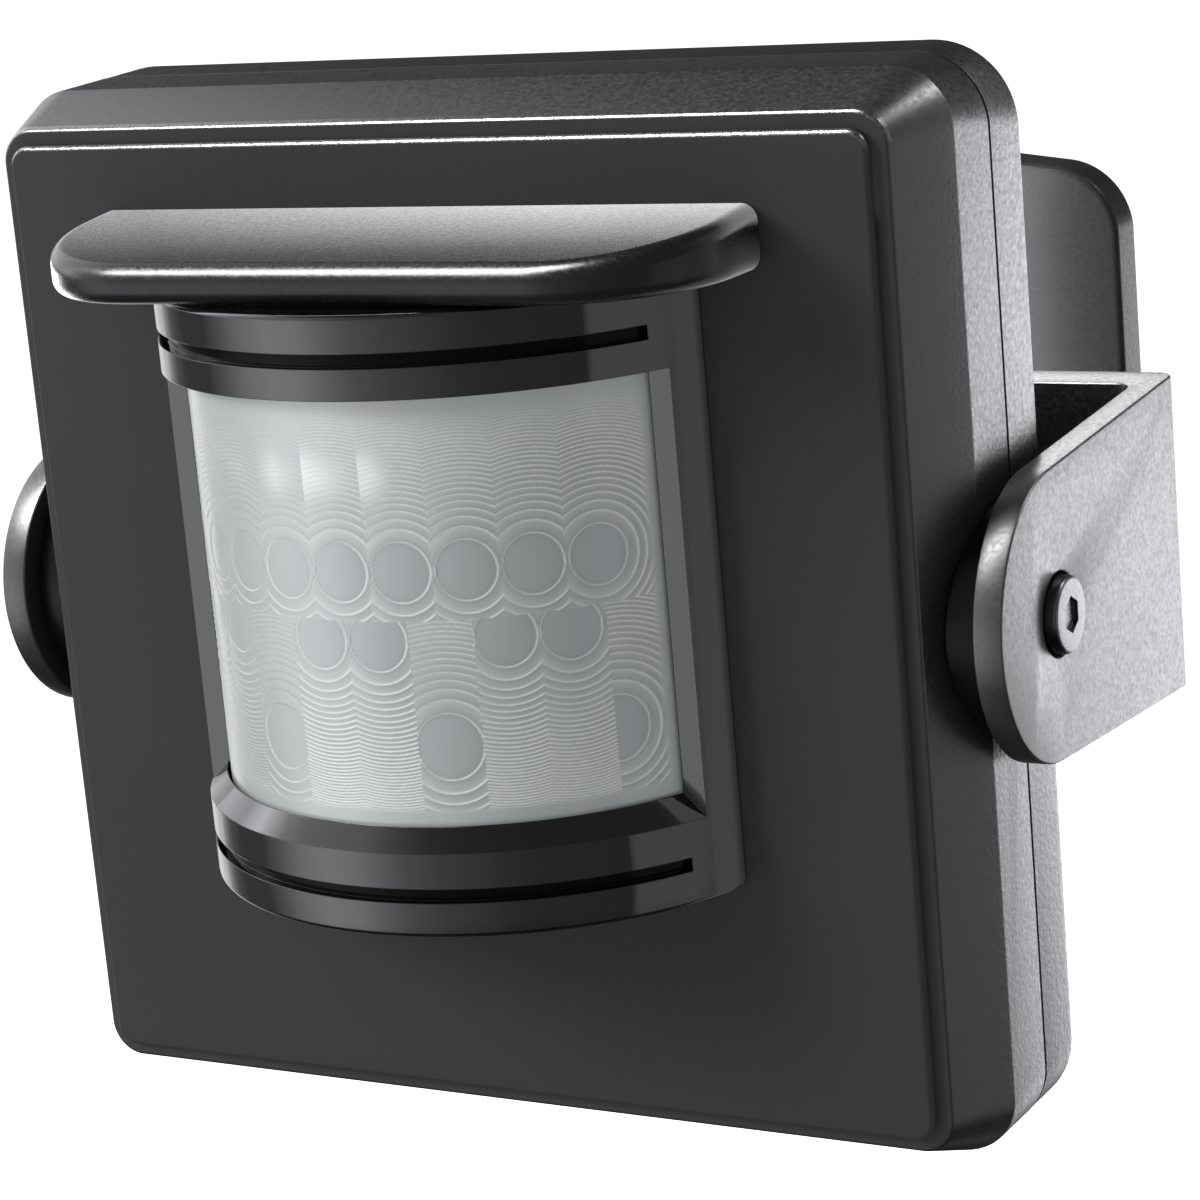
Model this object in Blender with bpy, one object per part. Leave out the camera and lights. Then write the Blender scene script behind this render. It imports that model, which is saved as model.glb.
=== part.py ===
"""Outdoor passive-infrared motion sensor on a tilting yoke, built as an assembly.

Metres, +Z up.  x = 0 is the middle of the sensor, z = 0 is the height of the
tilt axis, y = 0 is the plane of the wall and the sensor looks toward -Y, so
front is -Y, left is -X and right is +X.  All lengths below are millimetres and
are turned into metres when a mesh is made.  A "depth" is counted from the face
of the front plate toward the wall.
"""

import math

import bmesh
import bpy
from mathutils import Matrix, Vector

MM = 0.001
GAP = 0.3                      # play between neighbouring pieces
SIDES = (("left", -1), ("right", 1))

# ---- main stations along y ---------------------------------------------------
Y_WALL = 0.0                   # contact plane of the wall plate
Y_FACE = -52.0                 # face of the front plate
Y_PIVOT = -37.0                # tilt axis
PIVOT = (0.0, Y_PIVOT, 0.0)    # origin of all tilting pieces but the knobs
WALL_ORIGIN = (0.0, 0.0, 0.0)  # origin of the pieces fixed to the wall

# ---- front plate and shells --------------------------------------------------
PLATE_W, PLATE_H = 90.0, 91.2
PLATE_R = 2.0                  # corner radius
LEDGE = 1.4                    # width of the step around the front plate
LEDGE_DEPTH = 1.15
BEVEL_GROW, BEVEL_DEPTH = 4.25, 8.7
BACK_GROW = 4.9
FRONT_RIM_DEPTH, REAR_RIM_DEPTH = 15.3, 15.7   # facing rims of the two shells
BACK_INNER_DEPTH = 19.6        # inner face of the rear shell's back
POST_ROOT_DEPTH = 20.6         # rear shell posts are sunk into the back this far
BACK_DEPTH = 21.8
Y_BACK = Y_FACE + BACK_DEPTH

# ---- lens frame (glossy bulge) and lens --------------------------------------
FRAME_R, FRAME_YC = 29.9, Y_FACE + 9.7
FRAME_Z0, FRAME_Z1 = -22.8, 33.3
FRAME_BASE_DEPTH = -0.25       # flat back of the frame, just off the front plate
LENS_R, LENS_YC = 27.2, Y_FACE + 8.75
LENS_T = 1.0
LENS_ANGLE = 66.0              # half angle
LENS_Z0, LENS_Z1 = -13.6, 27.0
WINDOW_INNER = (62.8, -12.7, 25.6)   # half angle, bottom and top at the lens
WINDOW_OUTER = (63.2, -15.0, 25.8)   # half angle, bottom and top at the outside
GROOVES = ((-19.6, -18.3), (28.6, 29.9))   # bottom and top of each groove
GROOVE_DEPTH = 0.9
GROOVE_ANGLE = 59.5            # half angle

# ---- rain hood ---------------------------------------------------------------
HOOD_HALF = 34.5
HOOD_DEPTH = 18.0              # reach in front of the plate
HOOD_R = 13.6
HOOD_Z0 = 33.6
HOOD_Z_BACK, HOOD_Z_FRONT = 39.5, 37.1   # sloping top
HOOD_EDGE = 1.5                # rounding of the edges

# ---- yoke, pivot and wall plate ----------------------------------------------
EAR_IN, EAR_OUT = 51.0, 53.8
NOSE_R = 13.4
YOKE_BACK, YOKE_PLATE_T = -5.0, 4.3
YOKE_HALF_H = 15.5
HUB_R = 11.5
PIVOT_HEAD_R, PIVOT_SCREW_R = 3.55, 2.0
PIVOT_BORE_R = PIVOT_SCREW_R + 0.2
WALL_PLATE_HALF, WALL_PLATE_TOP, WALL_PLATE_BOTTOM = 48.5, 38.5, -16.0
WALL_PLATE_T = 4.7
CABLE_Z = 26.0

# ---- inside ------------------------------------------------------------------
Y_BOARD = Y_FACE + 7.9         # front face of the circuit board
Y_BOARD_BACK = Y_BOARD + 1.6
Y_PARTS = Y_BOARD_BACK + 0.2   # front of the parts behind the board
KNOB_X = (-16.0, 0.0, 16.0)
KNOB_Z = -30.0

# ---- screw places (x, z) -----------------------------------------------------
WALL_SCREWS = [(x, 24.0) for x in (-27.0, 27.0)]
BRACKET_SCREWS = [(x, 0.0) for x in (-32.0, 32.0)]
FRAME_SCREWS = [(x, z) for x in (-19.5, 19.5) for z in (-18.9, 29.4)]
HOOD_SCREWS = [(x, 36.2) for x in (-24.0, 24.0)]
CASE_SCREWS = [(x, z) for x in (-42.0, 42.0) for z in (-42.6, 42.6)]
BOARD_SCREWS = [(x, z) for x in (-33.0, 33.0) for z in (-35.5, 35.5)]
CLAMP_SCREWS = [(x, 13.0) for x in (-8.0, 8.0)]

# ---- materials: sRGB colour, roughness, metallic -----------------------------
MATERIALS = {
    "front_plate_matt_plastic": ((0.245, 0.245, 0.255), 0.42, 0.0),
    "bezel_textured_plastic": ((0.27, 0.27, 0.28), 0.38, 0.0),
    "rear_shell_textured_plastic": ((0.27, 0.27, 0.285), 0.45, 0.0),
    "yoke_textured_plastic": ((0.30, 0.30, 0.31), 0.40, 0.0),
    "wall_plate_plastic": ((0.27, 0.27, 0.28), 0.45, 0.0),
    "lens_frame_gloss_plastic": ((0.12, 0.12, 0.125), 0.08, 0.0),
    "hood_satin_plastic": ((0.22, 0.22, 0.23), 0.33, 0.0),
    "lens_milky_polyethylene": ((0.78, 0.81, 0.80), 0.30, 0.0),
    "retainer_black_plastic": ((0.08, 0.08, 0.085), 0.5, 0.0),
    "hub_black_plastic": ((0.07, 0.07, 0.075), 0.25, 0.0),
    "seal_black_rubber": ((0.06, 0.06, 0.06), 0.8, 0.0),
    "grommet_black_rubber": ((0.07, 0.07, 0.07), 0.75, 0.0),
    "screw_plated_steel": ((0.72, 0.73, 0.74), 0.3, 1.0),
    "nut_plated_steel": ((0.70, 0.70, 0.68), 0.35, 1.0),
    "board_green_laminate": ((0.10, 0.33, 0.16), 0.45, 0.0),
    "pir_can_nickel": ((0.78, 0.77, 0.74), 0.25, 1.0),
    "relay_blue_plastic": ((0.10, 0.22, 0.55), 0.4, 0.0),
    "film_capacitor_yellow": ((0.80, 0.66, 0.18), 0.45, 0.0),
    "electrolytic_sleeve_black": ((0.10, 0.10, 0.14), 0.35, 0.0),
    "varistor_blue_epoxy": ((0.12, 0.30, 0.62), 0.4, 0.0),
    "terminal_green_plastic": ((0.16, 0.45, 0.25), 0.45, 0.0),
    "trimmer_black_plastic": ((0.10, 0.10, 0.10), 0.45, 0.0),
    "knob_grey_plastic": ((0.42, 0.42, 0.43), 0.45, 0.0),
    "clamp_grey_plastic": ((0.35, 0.35, 0.36), 0.5, 0.0),
}


# ------------------------------------------------------- materials and finishing
def linear(colour):
    """Linear value of an sRGB colour."""
    return tuple((v / 12.92) if v <= 0.04045 else ((v + 0.055) / 1.055) ** 2.4 for v in colour)


def own_material(piece, kind):
    """New material of the given kind, for one piece only."""
    colour, roughness, metallic = MATERIALS[kind]
    rgba = (*linear(colour), 1.0)
    mat = bpy.data.materials.new(piece + "_" + kind)
    mat.use_nodes = True
    shader = mat.node_tree.nodes["Principled BSDF"]
    shader.inputs["Base Color"].default_value = rgba
    shader.inputs["Roughness"].default_value = roughness
    shader.inputs["Metallic"].default_value = metallic
    mat.diffuse_color = rgba
    return mat


def finish(ob, kind, origin=PIVOT, sharp_angle=32.0):
    """Material, shading and origin of one piece."""
    mesh = ob.data
    mesh.materials.clear()
    mesh.materials.append(own_material(ob.name, kind))
    for face in mesh.polygons:
        face.material_index = 0
    place = Vector(origin) * MM
    mesh.transform(Matrix.Translation(-place))
    ob.location = place
    mesh.shade_smooth()
    mesh.set_sharp_from_angle(angle=math.radians(sharp_angle))
    mesh.update()


# ---------------------------------------------------------------------- outlines
def arc(cx, cy, radius, start, end, n):
    """n + 1 points of an arc between two angles in degrees."""
    angles = [math.radians(start + (end - start) * i / n) for i in range(n + 1)]
    return [(cx + radius * math.cos(t), cy + radius * math.sin(t)) for t in angles]


def mirrored(points):
    """The points on the other side of x = 0, in reverse order."""
    return [(-x, y) for x, y in reversed(points)]


def rounded_rect(half_w, half_h, radius, y, n=5, cx=0.0, cz=0.0):
    """Rounded rectangle in the plane y, with n segments to a corner."""
    outline = []
    for k, (sx, sz) in enumerate(((1, 1), (-1, 1), (-1, -1), (1, -1))):
        outline += arc(cx + sx * (half_w - radius), cz + sz * (half_h - radius), radius,
                       90.0 * k, 90.0 * k + 90.0, n)
    return [(x, y, z) for x, z in outline]


def plate_ring(grow, depth, radius):
    """Outline of the front plate, grown all round, at a depth behind its face."""
    return rounded_rect(PLATE_W / 2 + grow, PLATE_H / 2 + grow, radius, Y_FACE + depth)


def circle(radius, centre, axis, n, turn):
    """Circle normal to axis 'x', 'y' or 'z'."""
    points = []
    x, y, z = centre
    for i in range(n):
        t = 2 * math.pi * i / n + turn
        u, v = radius * math.cos(t), radius * math.sin(t)
        if axis == "x":
            points.append((x, y + u, z + v))
        elif axis == "y":
            points.append((x + u, y, z + v))
        else:
            points.append((x + u, y + v, z))
    return points


def bow_outline(yc, radius, y_base, n=36):
    """Arc around (0, yc) in front of the plane y_base, closed by its chord."""
    half = math.acos((yc - y_base) / radius)
    angles = [half * (2.0 * i / n - 1.0) for i in range(n + 1)]
    return [(radius * math.sin(t), yc - radius * math.cos(t)) for t in angles]


# ------------------------------------------------------------------------ solids
def loft(name, rings, closed=False):
    """Solid through equally long rings of points; ends capped unless closed."""
    bm = bmesh.new()
    verts = [[bm.verts.new(Vector(p) * MM) for p in ring] for ring in rings]
    n = len(rings[0])
    pairs = list(zip(verts, verts[1:])) + ([(verts[-1], verts[0])] if closed else [])
    for a, b in pairs:
        for i in range(n):
            j = (i + 1) % n
            bm.faces.new((a[i], a[j], b[j], b[i]))
    if not closed:
        bm.faces.new(verts[0])
        bm.faces.new(verts[-1])
    bmesh.ops.recalc_face_normals(bm, faces=bm.faces)
    mesh = bpy.data.meshes.new(name)
    bm.to_mesh(mesh)
    bm.free()
    ob = bpy.data.objects.new(name, mesh)
    bpy.context.scene.collection.objects.link(ob)
    return ob


def turned(name, axis, centre, profile, n=24, turn=0.0, closed=False):
    """Solid of revolution: profile is (station along the axis, radius)."""
    k = "xyz".index(axis)
    rings = []
    for station, radius in profile:
        at = list(centre)
        at[k] = station
        rings.append(circle(radius, at, axis, n, turn))
    return loft(name, rings, closed)


def box(name, x0, x1, y0, y1, z0, z1):
    return loft(name, [[(x0, y, z0), (x1, y, z0), (x1, y, z1), (x0, y, z1)] for y in (y0, y1)])


def prism_x(name, outline, x0, x1):
    """(y, z) outline drawn out along x."""
    return loft(name, [[(x, y, z) for y, z in outline] for x in (x0, x1)])


def prism_z(name, outline, z0, z1):
    """(x, y) outline drawn out along z."""
    return loft(name, [[(x, y, z) for x, y in outline] for z in (z0, z1)])


def rods(places, radius, y0, y1, n):
    """Rods along y at the (x, z) places, used as posts and as drills."""
    return [turned("rod", "y", (x, 0, z), [(y0, radius), (y1, radius)], n) for x, z in places]


def case_rods(places, radius, depth0, depth1, n):
    """Rods along y between two depths."""
    return rods(places, radius, Y_FACE + depth0, Y_FACE + depth1, n)


def axis_rod(radius, x0, x1, n=16):
    """Rod on the tilt axis."""
    return turned("rod", "x", PIVOT, [(x0, radius), (x1, radius)], n)


def axis_hexagon(name, flats, x0, x1):
    """Hexagonal rod on the tilt axis."""
    radius = flats / math.sqrt(3)
    return turned(name, "x", PIVOT, [(x0, radius), (x1, radius)], 6, math.radians(30))


def arc_box(name, patch0, patch1, n=40):
    """Curved block between two patches of cylinders with vertical axes.

    A patch is (y of the axis, radius, half angle in degrees, bottom, top).
    """
    yc0, r0, half0, bottom0, top0 = patch0
    yc1, r1, half1, bottom1, top1 = patch1
    rings = []
    for i in range(n + 1):
        f = 2.0 * i / n - 1.0
        t0, t1 = math.radians(half0 * f), math.radians(half1 * f)
        x0, y0 = r0 * math.sin(t0), yc0 - r0 * math.cos(t0)
        x1, y1 = r1 * math.sin(t1), yc1 - r1 * math.cos(t1)
        rings.append([(x0, y0, bottom0), (x1, y1, bottom1), (x1, y1, top1), (x0, y0, top0)])
    return loft(name, rings)


def rounded_block(name, x0, x1, z0, z1, y0, y1, radius):
    """Block with rounded corners and an inset end ring at y1."""
    cx, cz, half_w, half_h = (x0 + x1) / 2, (z0 + z1) / 2, (x1 - x0) / 2, (z1 - z0) / 2
    inset = radius * 0.7
    return loft(name, [
        rounded_rect(half_w, half_h, radius, y0, 3, cx, cz),
        rounded_rect(half_w, half_h, radius, y1 - radius, 3, cx, cz),
        rounded_rect(half_w - inset, half_h - inset, radius * 0.5, y1, 3, cx, cz)])


# ---------------------------------------------------------------------- booleans
def combine(ob, others, operation):
    """Boolean of ob with each of the others, which are used up."""
    for k, other in enumerate(others):
        modifier = ob.modifiers.new("b%d" % k, "BOOLEAN")
        modifier.operation = operation
        modifier.solver = "EXACT"
        modifier.object = other
    bpy.context.view_layer.update()
    depsgraph = bpy.context.evaluated_depsgraph_get()
    mesh = bpy.data.meshes.new_from_object(ob.evaluated_get(depsgraph))
    old = ob.data
    ob.modifiers.clear()
    ob.data = mesh
    mesh.name = ob.name
    bpy.data.meshes.remove(old)
    for other in others:
        used = other.data
        bpy.data.objects.remove(other)
        bpy.data.meshes.remove(used)
    weld = 2e-6                # metres
    bm = bmesh.new()
    bm.from_mesh(mesh)
    bmesh.ops.remove_doubles(bm, verts=bm.verts, dist=weld)
    bmesh.ops.dissolve_degenerate(bm, edges=bm.edges, dist=weld)
    bm.to_mesh(mesh)
    bm.free()
    return ob


def cut(ob, *others):
    return combine(ob, others, "DIFFERENCE")


def join(ob, *others):
    return combine(ob, others, "UNION")


def common(ob, *others):
    return combine(ob, others, "INTERSECT")


# ------------------------------------------------------------------------- start
for old_object in list(bpy.data.objects):
    bpy.data.objects.remove(old_object, do_unlink=True)


# -------------------------------------------------------------------- wall plate
def wall_plate_outline(grow):
    """(x, z) outline with an arched top."""
    top_r, bottom_r, crown = 7.0, 3.0, 3.2
    shoulder = WALL_PLATE_TOP - crown
    cx, cz = WALL_PLATE_HALF - top_r, shoulder - top_r
    points = arc(cx, cz, top_r + grow, 4.0, 86.0, 6)
    for i in range(1, 8):
        f = 1.0 - 2.0 * i / 8.0
        points.append((cx * f, shoulder + grow + crown * (1.0 - f * f)))
    points += arc(-cx, cz, top_r + grow, 94.0, 176.0, 6)
    for side, start in ((-1, 180.0), (1, 270.0)):
        points += arc(side * (WALL_PLATE_HALF - bottom_r), WALL_PLATE_BOTTOM + bottom_r,
                      bottom_r + grow, start, start + 90.0, 4)
    return points


def wall_plate():
    front = -WALL_PLATE_T
    stations = ((Y_WALL, 0.0), (front + 0.8, 0.0), (front + 0.25, -0.25), (front, -0.8))
    ob = loft("wall_plate", [[(x, y, z) for x, z in wall_plate_outline(grow)]
                             for y, grow in stations])
    # (y, radius) of the countersunk holes for the wall screws
    countersink = [(1.0, 2.4), (-2.4, 2.4), (-4.7, 4.6), (-5.2, 4.6)]
    cutters = rods([(0, CABLE_Z)], 6.0, -6, 1, 20)
    cutters += [turned("cutter", "y", (x, 0, z), countersink, 16) for x, z in WALL_SCREWS]
    cutters += rods(BRACKET_SCREWS, 2.05, -6, -0.9, 12)
    return cut(ob, *cutters)


finish(wall_plate(), "wall_plate_plastic", WALL_ORIGIN)


# -------------------------------------------------------------------------- yoke
def yoke_plan():
    """(x, y) outline of the U seen from above, longer than the ears."""
    y_tips = Y_PIVOT - NOSE_R - 1
    y_plate = YOKE_BACK - YOKE_PLATE_T
    outer_r, inner_r = 1.6, 1.8
    inner = [(EAR_IN, y_tips)] + arc(EAR_IN - inner_r, y_plate - inner_r, inner_r, 0.0, 90.0, 4)
    outer = arc(EAR_OUT - outer_r, YOKE_BACK - outer_r, outer_r, 90.0, 0.0, 5)
    outer.append((EAR_OUT, y_tips))
    return inner + mirrored(inner) + mirrored(outer) + outer


def yoke_side():
    """(y, z) outline: round nose on the tilt axis, tangent lines to the back plate."""
    y_end = YOKE_BACK + 1.0
    reach = y_end - Y_PIVOT
    distance = math.hypot(reach, YOKE_HALF_H)
    tangent = (math.degrees(math.atan2(YOKE_HALF_H, reach))
               + math.degrees(math.acos(NOSE_R / distance)))
    nose = arc(Y_PIVOT, 0.0, NOSE_R, tangent, 360.0 - tangent, 26)
    return [(y_end, YOKE_HALF_H)] + nose + [(y_end, -YOKE_HALF_H)]


def yoke():
    ob = prism_z("swivel_bracket", yoke_plan(), -YOKE_HALF_H - 1, YOKE_HALF_H + 1)
    ob = common(ob, prism_x("cutter", yoke_side(), -EAR_OUT - 2, EAR_OUT + 2))
    cutters = []
    for _, s in SIDES:         # bore and head recess of each pivot screw
        cutters.append(axis_rod(PIVOT_BORE_R, s * (EAR_IN - 2), s * (EAR_OUT + 2)))
        cutters.append(axis_rod(PIVOT_HEAD_R + 0.3, s * (EAR_OUT - 1.1), s * (EAR_OUT + 2), 28))
    cutters += rods(BRACKET_SCREWS, 2.2, YOKE_BACK - 8, YOKE_BACK + 2, 14)
    cutters += rods([(0, 0)], 7.0, YOKE_BACK - 8, YOKE_BACK + 2, 24)
    return cut(ob, *cutters)


finish(yoke(), "yoke_textured_plastic", WALL_ORIGIN)


# ------------------------------------------------------------------- front plate
def front_plate():
    foot = LEDGE_DEPTH - GAP
    # grow, depth, corner radius: rounded face, rim, then the spigot behind it
    stations = ((-0.3, 0.0, PLATE_R - 0.3), (-0.08, 0.08, PLATE_R - 0.08), (0.0, 0.3, PLATE_R),
                (0.0, foot, PLATE_R), (-3.3, foot, 1.7), (-3.3, 3.4, 1.7))
    ob = loft("front_plate", [plate_ring(*station) for station in stations])
    window = box("cutter", -24.0, 24.0, Y_FACE - 2, Y_FACE + 6, -15.2, 25.9)
    return cut(ob, window, *case_rods(FRAME_SCREWS + HOOD_SCREWS, 1.4, -2, 6, 10))


finish(front_plate(), "front_plate_matt_plastic")


# ------------------------------------------------------------------------ shells
def outer_rings(extra=0.0):
    """Outer skin of the closed case from front to back, grown by extra."""
    e = extra
    return [plate_ring(grow, depth, radius) for grow, depth, radius in (
        (LEDGE - 0.25 + e, LEDGE_DEPTH - e, 3.0 + e),
        (LEDGE + e, LEDGE_DEPTH + 0.25 - e, 3.2 + e),
        (BEVEL_GROW - 0.25 + e, BEVEL_DEPTH - 0.55, 5.3 + e),
        (BEVEL_GROW + e, BEVEL_DEPTH + 0.35, 5.6 + e),
        (BEVEL_GROW + 0.33 + e, FRONT_RIM_DEPTH, 6.7 + e),
        (BEVEL_GROW + 0.35 + e, REAR_RIM_DEPTH, 6.8 + e),
        (BACK_GROW + e, BACK_DEPTH - 1.0, 7.8 + e),
        (BACK_GROW - 0.3 + e, BACK_DEPTH - 0.3 + e * 0.7, 7.6 + e),
        (BACK_GROW - 1.0 + e * 0.7, BACK_DEPTH + e, 7.0 + e * 0.7))]


def shell_pivot_bores():
    return [axis_rod(PIVOT_BORE_R, s * 40.0, s * 52.0) for _, s in SIDES]


def front_shell():
    # inner skin from the rim forward: grow, depth, corner radius
    inside = ((1.75, FRONT_RIM_DEPTH, 4.5), (1.75, 9.2, 4.5), (-0.4, 3.5, 2.6),
              (-3.0, 3.5, 2.0), (-3.0, LEDGE_DEPTH, 2.0))
    rings = outer_rings()[:5] + [plate_ring(*station) for station in inside]
    ob = loft("front_shell", rings, closed=True)
    ob = join(ob, *case_rods(CASE_SCREWS, 3.4, 2.2, FRONT_RIM_DEPTH, 12))
    cutters = case_rods(CASE_SCREWS, 1.7, 5.0, 17, 10) + shell_pivot_bores()
    # the spigot of the front plate passes the posts with play
    cutters.append(loft("cutter", [plate_ring(-3.0, depth, 2.0) for depth in (-1, 3.7)]))
    return cut(ob, *cutters)


def rear_shell():
    # inner skin from the back to the rim, with the seal groove: grow, depth, corner radius
    inside = ((2.0, BACK_INNER_DEPTH, 5.0), (2.0, REAR_RIM_DEPTH, 5.0),
              (2.7, REAR_RIM_DEPTH, 5.5), (2.7, 17.0, 5.5),
              (3.9, 17.0, 6.2), (3.9, REAR_RIM_DEPTH, 6.2))
    ob = loft("rear_shell", [plate_ring(*station) for station in inside] + outer_rings()[5:])
    ob = join(ob, *case_rods(CASE_SCREWS, 4.2, REAR_RIM_DEPTH, POST_ROOT_DEPTH, 14),
              *case_rods(BOARD_SCREWS, 2.8, 9.8, POST_ROOT_DEPTH, 10),
              *case_rods(CLAMP_SCREWS, 2.4, 17.4, POST_ROOT_DEPTH, 10))
    # (y, radius) of the stepped holes for the case screws
    stepped = [(Y_FACE + 15.0, 1.75), (Y_FACE + 18.4, 1.75),
               (Y_FACE + 18.4, 3.15), (Y_FACE + 23.0, 3.15)]
    cutters = [turned("cutter", "y", (x, 0, z), stepped, 16) for x, z in CASE_SCREWS]
    cutters += case_rods(BOARD_SCREWS, 1.2, 9.0, 16.5, 8)
    cutters += case_rods(CLAMP_SCREWS, 1.2, 16.0, 20.4, 8)
    cutters += case_rods([(x, KNOB_Z) for x in KNOB_X], 3.2, 18.0, 23.0, 16)
    cutters += case_rods([(0, CABLE_Z)], 5.0, 18.0, 23.0, 20)
    return cut(ob, *cutters, *shell_pivot_bores())


def case_gasket(half, s):
    """Cord seal in the groove of the rear shell; each half stops short of the pivots."""
    # grow, depth, corner radius
    section = ((3.0, 15.55, 5.7), (3.6, 15.55, 6.0), (3.6, 16.75, 6.0), (3.0, 16.75, 5.7))
    cord = loft("case_gasket_" + half, [plate_ring(*station) for station in section], closed=True)
    z0, z1 = sorted((s * 3.4, s * 60.0))
    return common(cord, box("cutter", -60, 60, Y_FACE + 12, Y_FACE + 20, z0, z1))


finish(front_shell(), "bezel_textured_plastic")
finish(rear_shell(), "rear_shell_textured_plastic")
for half_name, sign in (("upper", 1), ("lower", -1)):
    finish(case_gasket(half_name, sign), "seal_black_rubber")


# ---------------------------------------------------------- lens frame and lens
def frame_window():
    """Cutter for the curved window with bevelled sides.

    It runs on past the lens and the outside, by these shares of the way between.
    """
    inner = (LENS_YC, LENS_R + 0.15, *WINDOW_INNER)
    outer = (FRAME_YC, FRAME_R, *WINDOW_OUTER)
    patches = [tuple(a + (b - a) * share for a, b in zip(inner, outer)) for share in (-0.6, 1.4)]
    return arc_box("cutter", *patches, 30)


def lens_frame():
    y_base = Y_FACE + FRAME_BASE_DEPTH
    edge, wall = 0.4, 1.8
    zc, half_h = (FRAME_Z0 + FRAME_Z1) / 2, (FRAME_Z1 - FRAME_Z0) / 2
    # (inset, distance from the end) of the rounded top and bottom edges
    rounding = ((edge, 0.0), (0.29 * edge, 0.29 * edge), (0.0, edge))
    levels = [(inset, FRAME_Z0 + dz) for inset, dz in rounding]
    levels += [(inset, FRAME_Z1 - dz) for inset, dz in reversed(rounding)]
    ob = loft("lens_frame", [[(x, y, z) for x, y in bow_outline(FRAME_YC, FRAME_R - inset, y_base)]
                             for inset, z in levels])
    # rounded corners as seen from the front
    ob = common(ob, loft("cutter", [rounded_rect(28.5, half_h + 0.02, 2.0, y, 5, 0, zc)
                                    for y in (y_base - 40, y_base + 5)]))
    cavity = prism_z("cutter", bow_outline(LENS_YC, LENS_R + GAP, y_base + 3.0),
                     FRAME_Z0 + wall, FRAME_Z1 - wall)
    grooves = [arc_box("cutter", (FRAME_YC, FRAME_R - GROOVE_DEPTH, GROOVE_ANGLE, z0, z1),
                       (FRAME_YC, FRAME_R + 1.5, GROOVE_ANGLE, z0, z1), 30) for z0, z1 in GROOVES]
    ob = cut(ob, cavity, frame_window(), *grooves)
    ob = join(ob, *case_rods(FRAME_SCREWS, 2.4, FRAME_BASE_DEPTH - 6.5, FRAME_BASE_DEPTH, 10))
    return cut(ob, *case_rods(FRAME_SCREWS, 1.25, FRAME_BASE_DEPTH - 5.4,
                              FRAME_BASE_DEPTH + 3, 8))


def fresnel_lens():
    extent = (LENS_ANGLE, LENS_Z0, LENS_Z1)
    return arc_box("fresnel_lens", (LENS_YC, LENS_R - LENS_T, *extent), (LENS_YC, LENS_R, *extent))


def lens_retainer():
    """Curved frame lying inside the lens."""
    outer_r = LENS_R - LENS_T - GAP
    extent = (LENS_ANGLE, -15.4, LENS_Z1)
    opening = (60.0, -11.6, 24.9)
    ob = arc_box("lens_retainer", (LENS_YC, outer_r - 1.1, *extent), (LENS_YC, outer_r, *extent), 24)
    return cut(ob, arc_box("cutter", (LENS_YC, outer_r - 3, *opening),
                           (LENS_YC, outer_r + 2, *opening), 24))


finish(lens_frame(), "lens_frame_gloss_plastic", sharp_angle=28)
finish(fresnel_lens(), "lens_milky_polyethylene")
finish(lens_retainer(), "retainer_black_plastic")


# --------------------------------------------------------------------- rain hood
def hood_outline(inset, n=9):
    """Back edge on the plate, straight sides, wide round corners, straight front."""
    half, radius = HOOD_HALF - inset, HOOD_R - inset
    y_front = Y_FACE - (HOOD_DEPTH - inset)
    straight = half - radius
    right = [(half, Y_FACE - GAP)] + arc(straight, y_front + radius, radius, 0.0, -90.0, n)
    front = [(straight - straight * 2 * i / 6, y_front) for i in range(1, 6)]
    return right + front + mirrored(right)


def rain_hood():
    slope = (HOOD_Z_BACK - HOOD_Z_FRONT) / (HOOD_DEPTH - GAP)
    lower, upper = [], []
    for degrees in (0.0, 22.5, 45.0, 67.5, 90.0):    # around the rounded edges
        t = math.radians(degrees)
        inset, drop = HOOD_EDGE * (1 - math.cos(t)), HOOD_EDGE * (1 - math.sin(t))
        outline = hood_outline(inset)
        lower.append([(x, y, HOOD_Z0 + drop) for x, y in outline])
        upper.append([(x, y, HOOD_Z_BACK - slope * (Y_FACE - GAP - y) - drop)
                      for x, y in outline])
    ob = loft("rain_hood", lower[::-1] + upper)
    return cut(ob, *case_rods(HOOD_SCREWS, 1.25, -9.0, 3, 8))


finish(rain_hood(), "hood_satin_plastic", sharp_angle=40)


# ---------------------------------------------------------------- pivot hardware
def pivot_hub(name, s):
    """Disc between case and yoke, its inner end shaped to the case."""
    profile = [(s * 46.2, HUB_R - 0.4), (s * 46.6, HUB_R), (s * (EAR_IN - 0.7), HUB_R),
               (s * (EAR_IN - 0.25), HUB_R - 0.45)]
    ob = turned(name, "x", PIVOT, profile, 40)
    case = loft("cutter", outer_rings(GAP))
    return cut(ob, case, axis_rod(PIVOT_BORE_R, s * 44.0, s * 52.0))


def pivot_screw(name, s):
    """Socket head screw."""
    top, seat, tip = EAR_OUT + 1.1, EAR_OUT - 1.0, 38.0
    profile = [(s * top, PIVOT_HEAD_R - 0.25), (s * (top - 0.25), PIVOT_HEAD_R),
               (s * seat, PIVOT_HEAD_R), (s * seat, PIVOT_SCREW_R),
               (s * (tip + 0.4), PIVOT_SCREW_R), (s * tip, PIVOT_SCREW_R - 0.4)]
    ob = turned(name, "x", PIVOT, profile, 24)
    return cut(ob, axis_hexagon("cutter", 3.0, s * (top - 1.7), s * (top + 1)))


def pivot_nut(name, s):
    ob = axis_hexagon(name, 7.0, s * 43.2, s * 46.3)
    return cut(ob, axis_rod(PIVOT_SCREW_R + 0.15, s * 42.0, s * 48.0))


for side_name, sign in SIDES:
    finish(pivot_hub("pivot_hub_" + side_name, sign), "hub_black_plastic")
    finish(pivot_screw("pivot_screw_" + side_name, sign), "screw_plated_steel")
    finish(pivot_nut("pivot_nut_" + side_name, sign), "nut_plated_steel")


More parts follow.
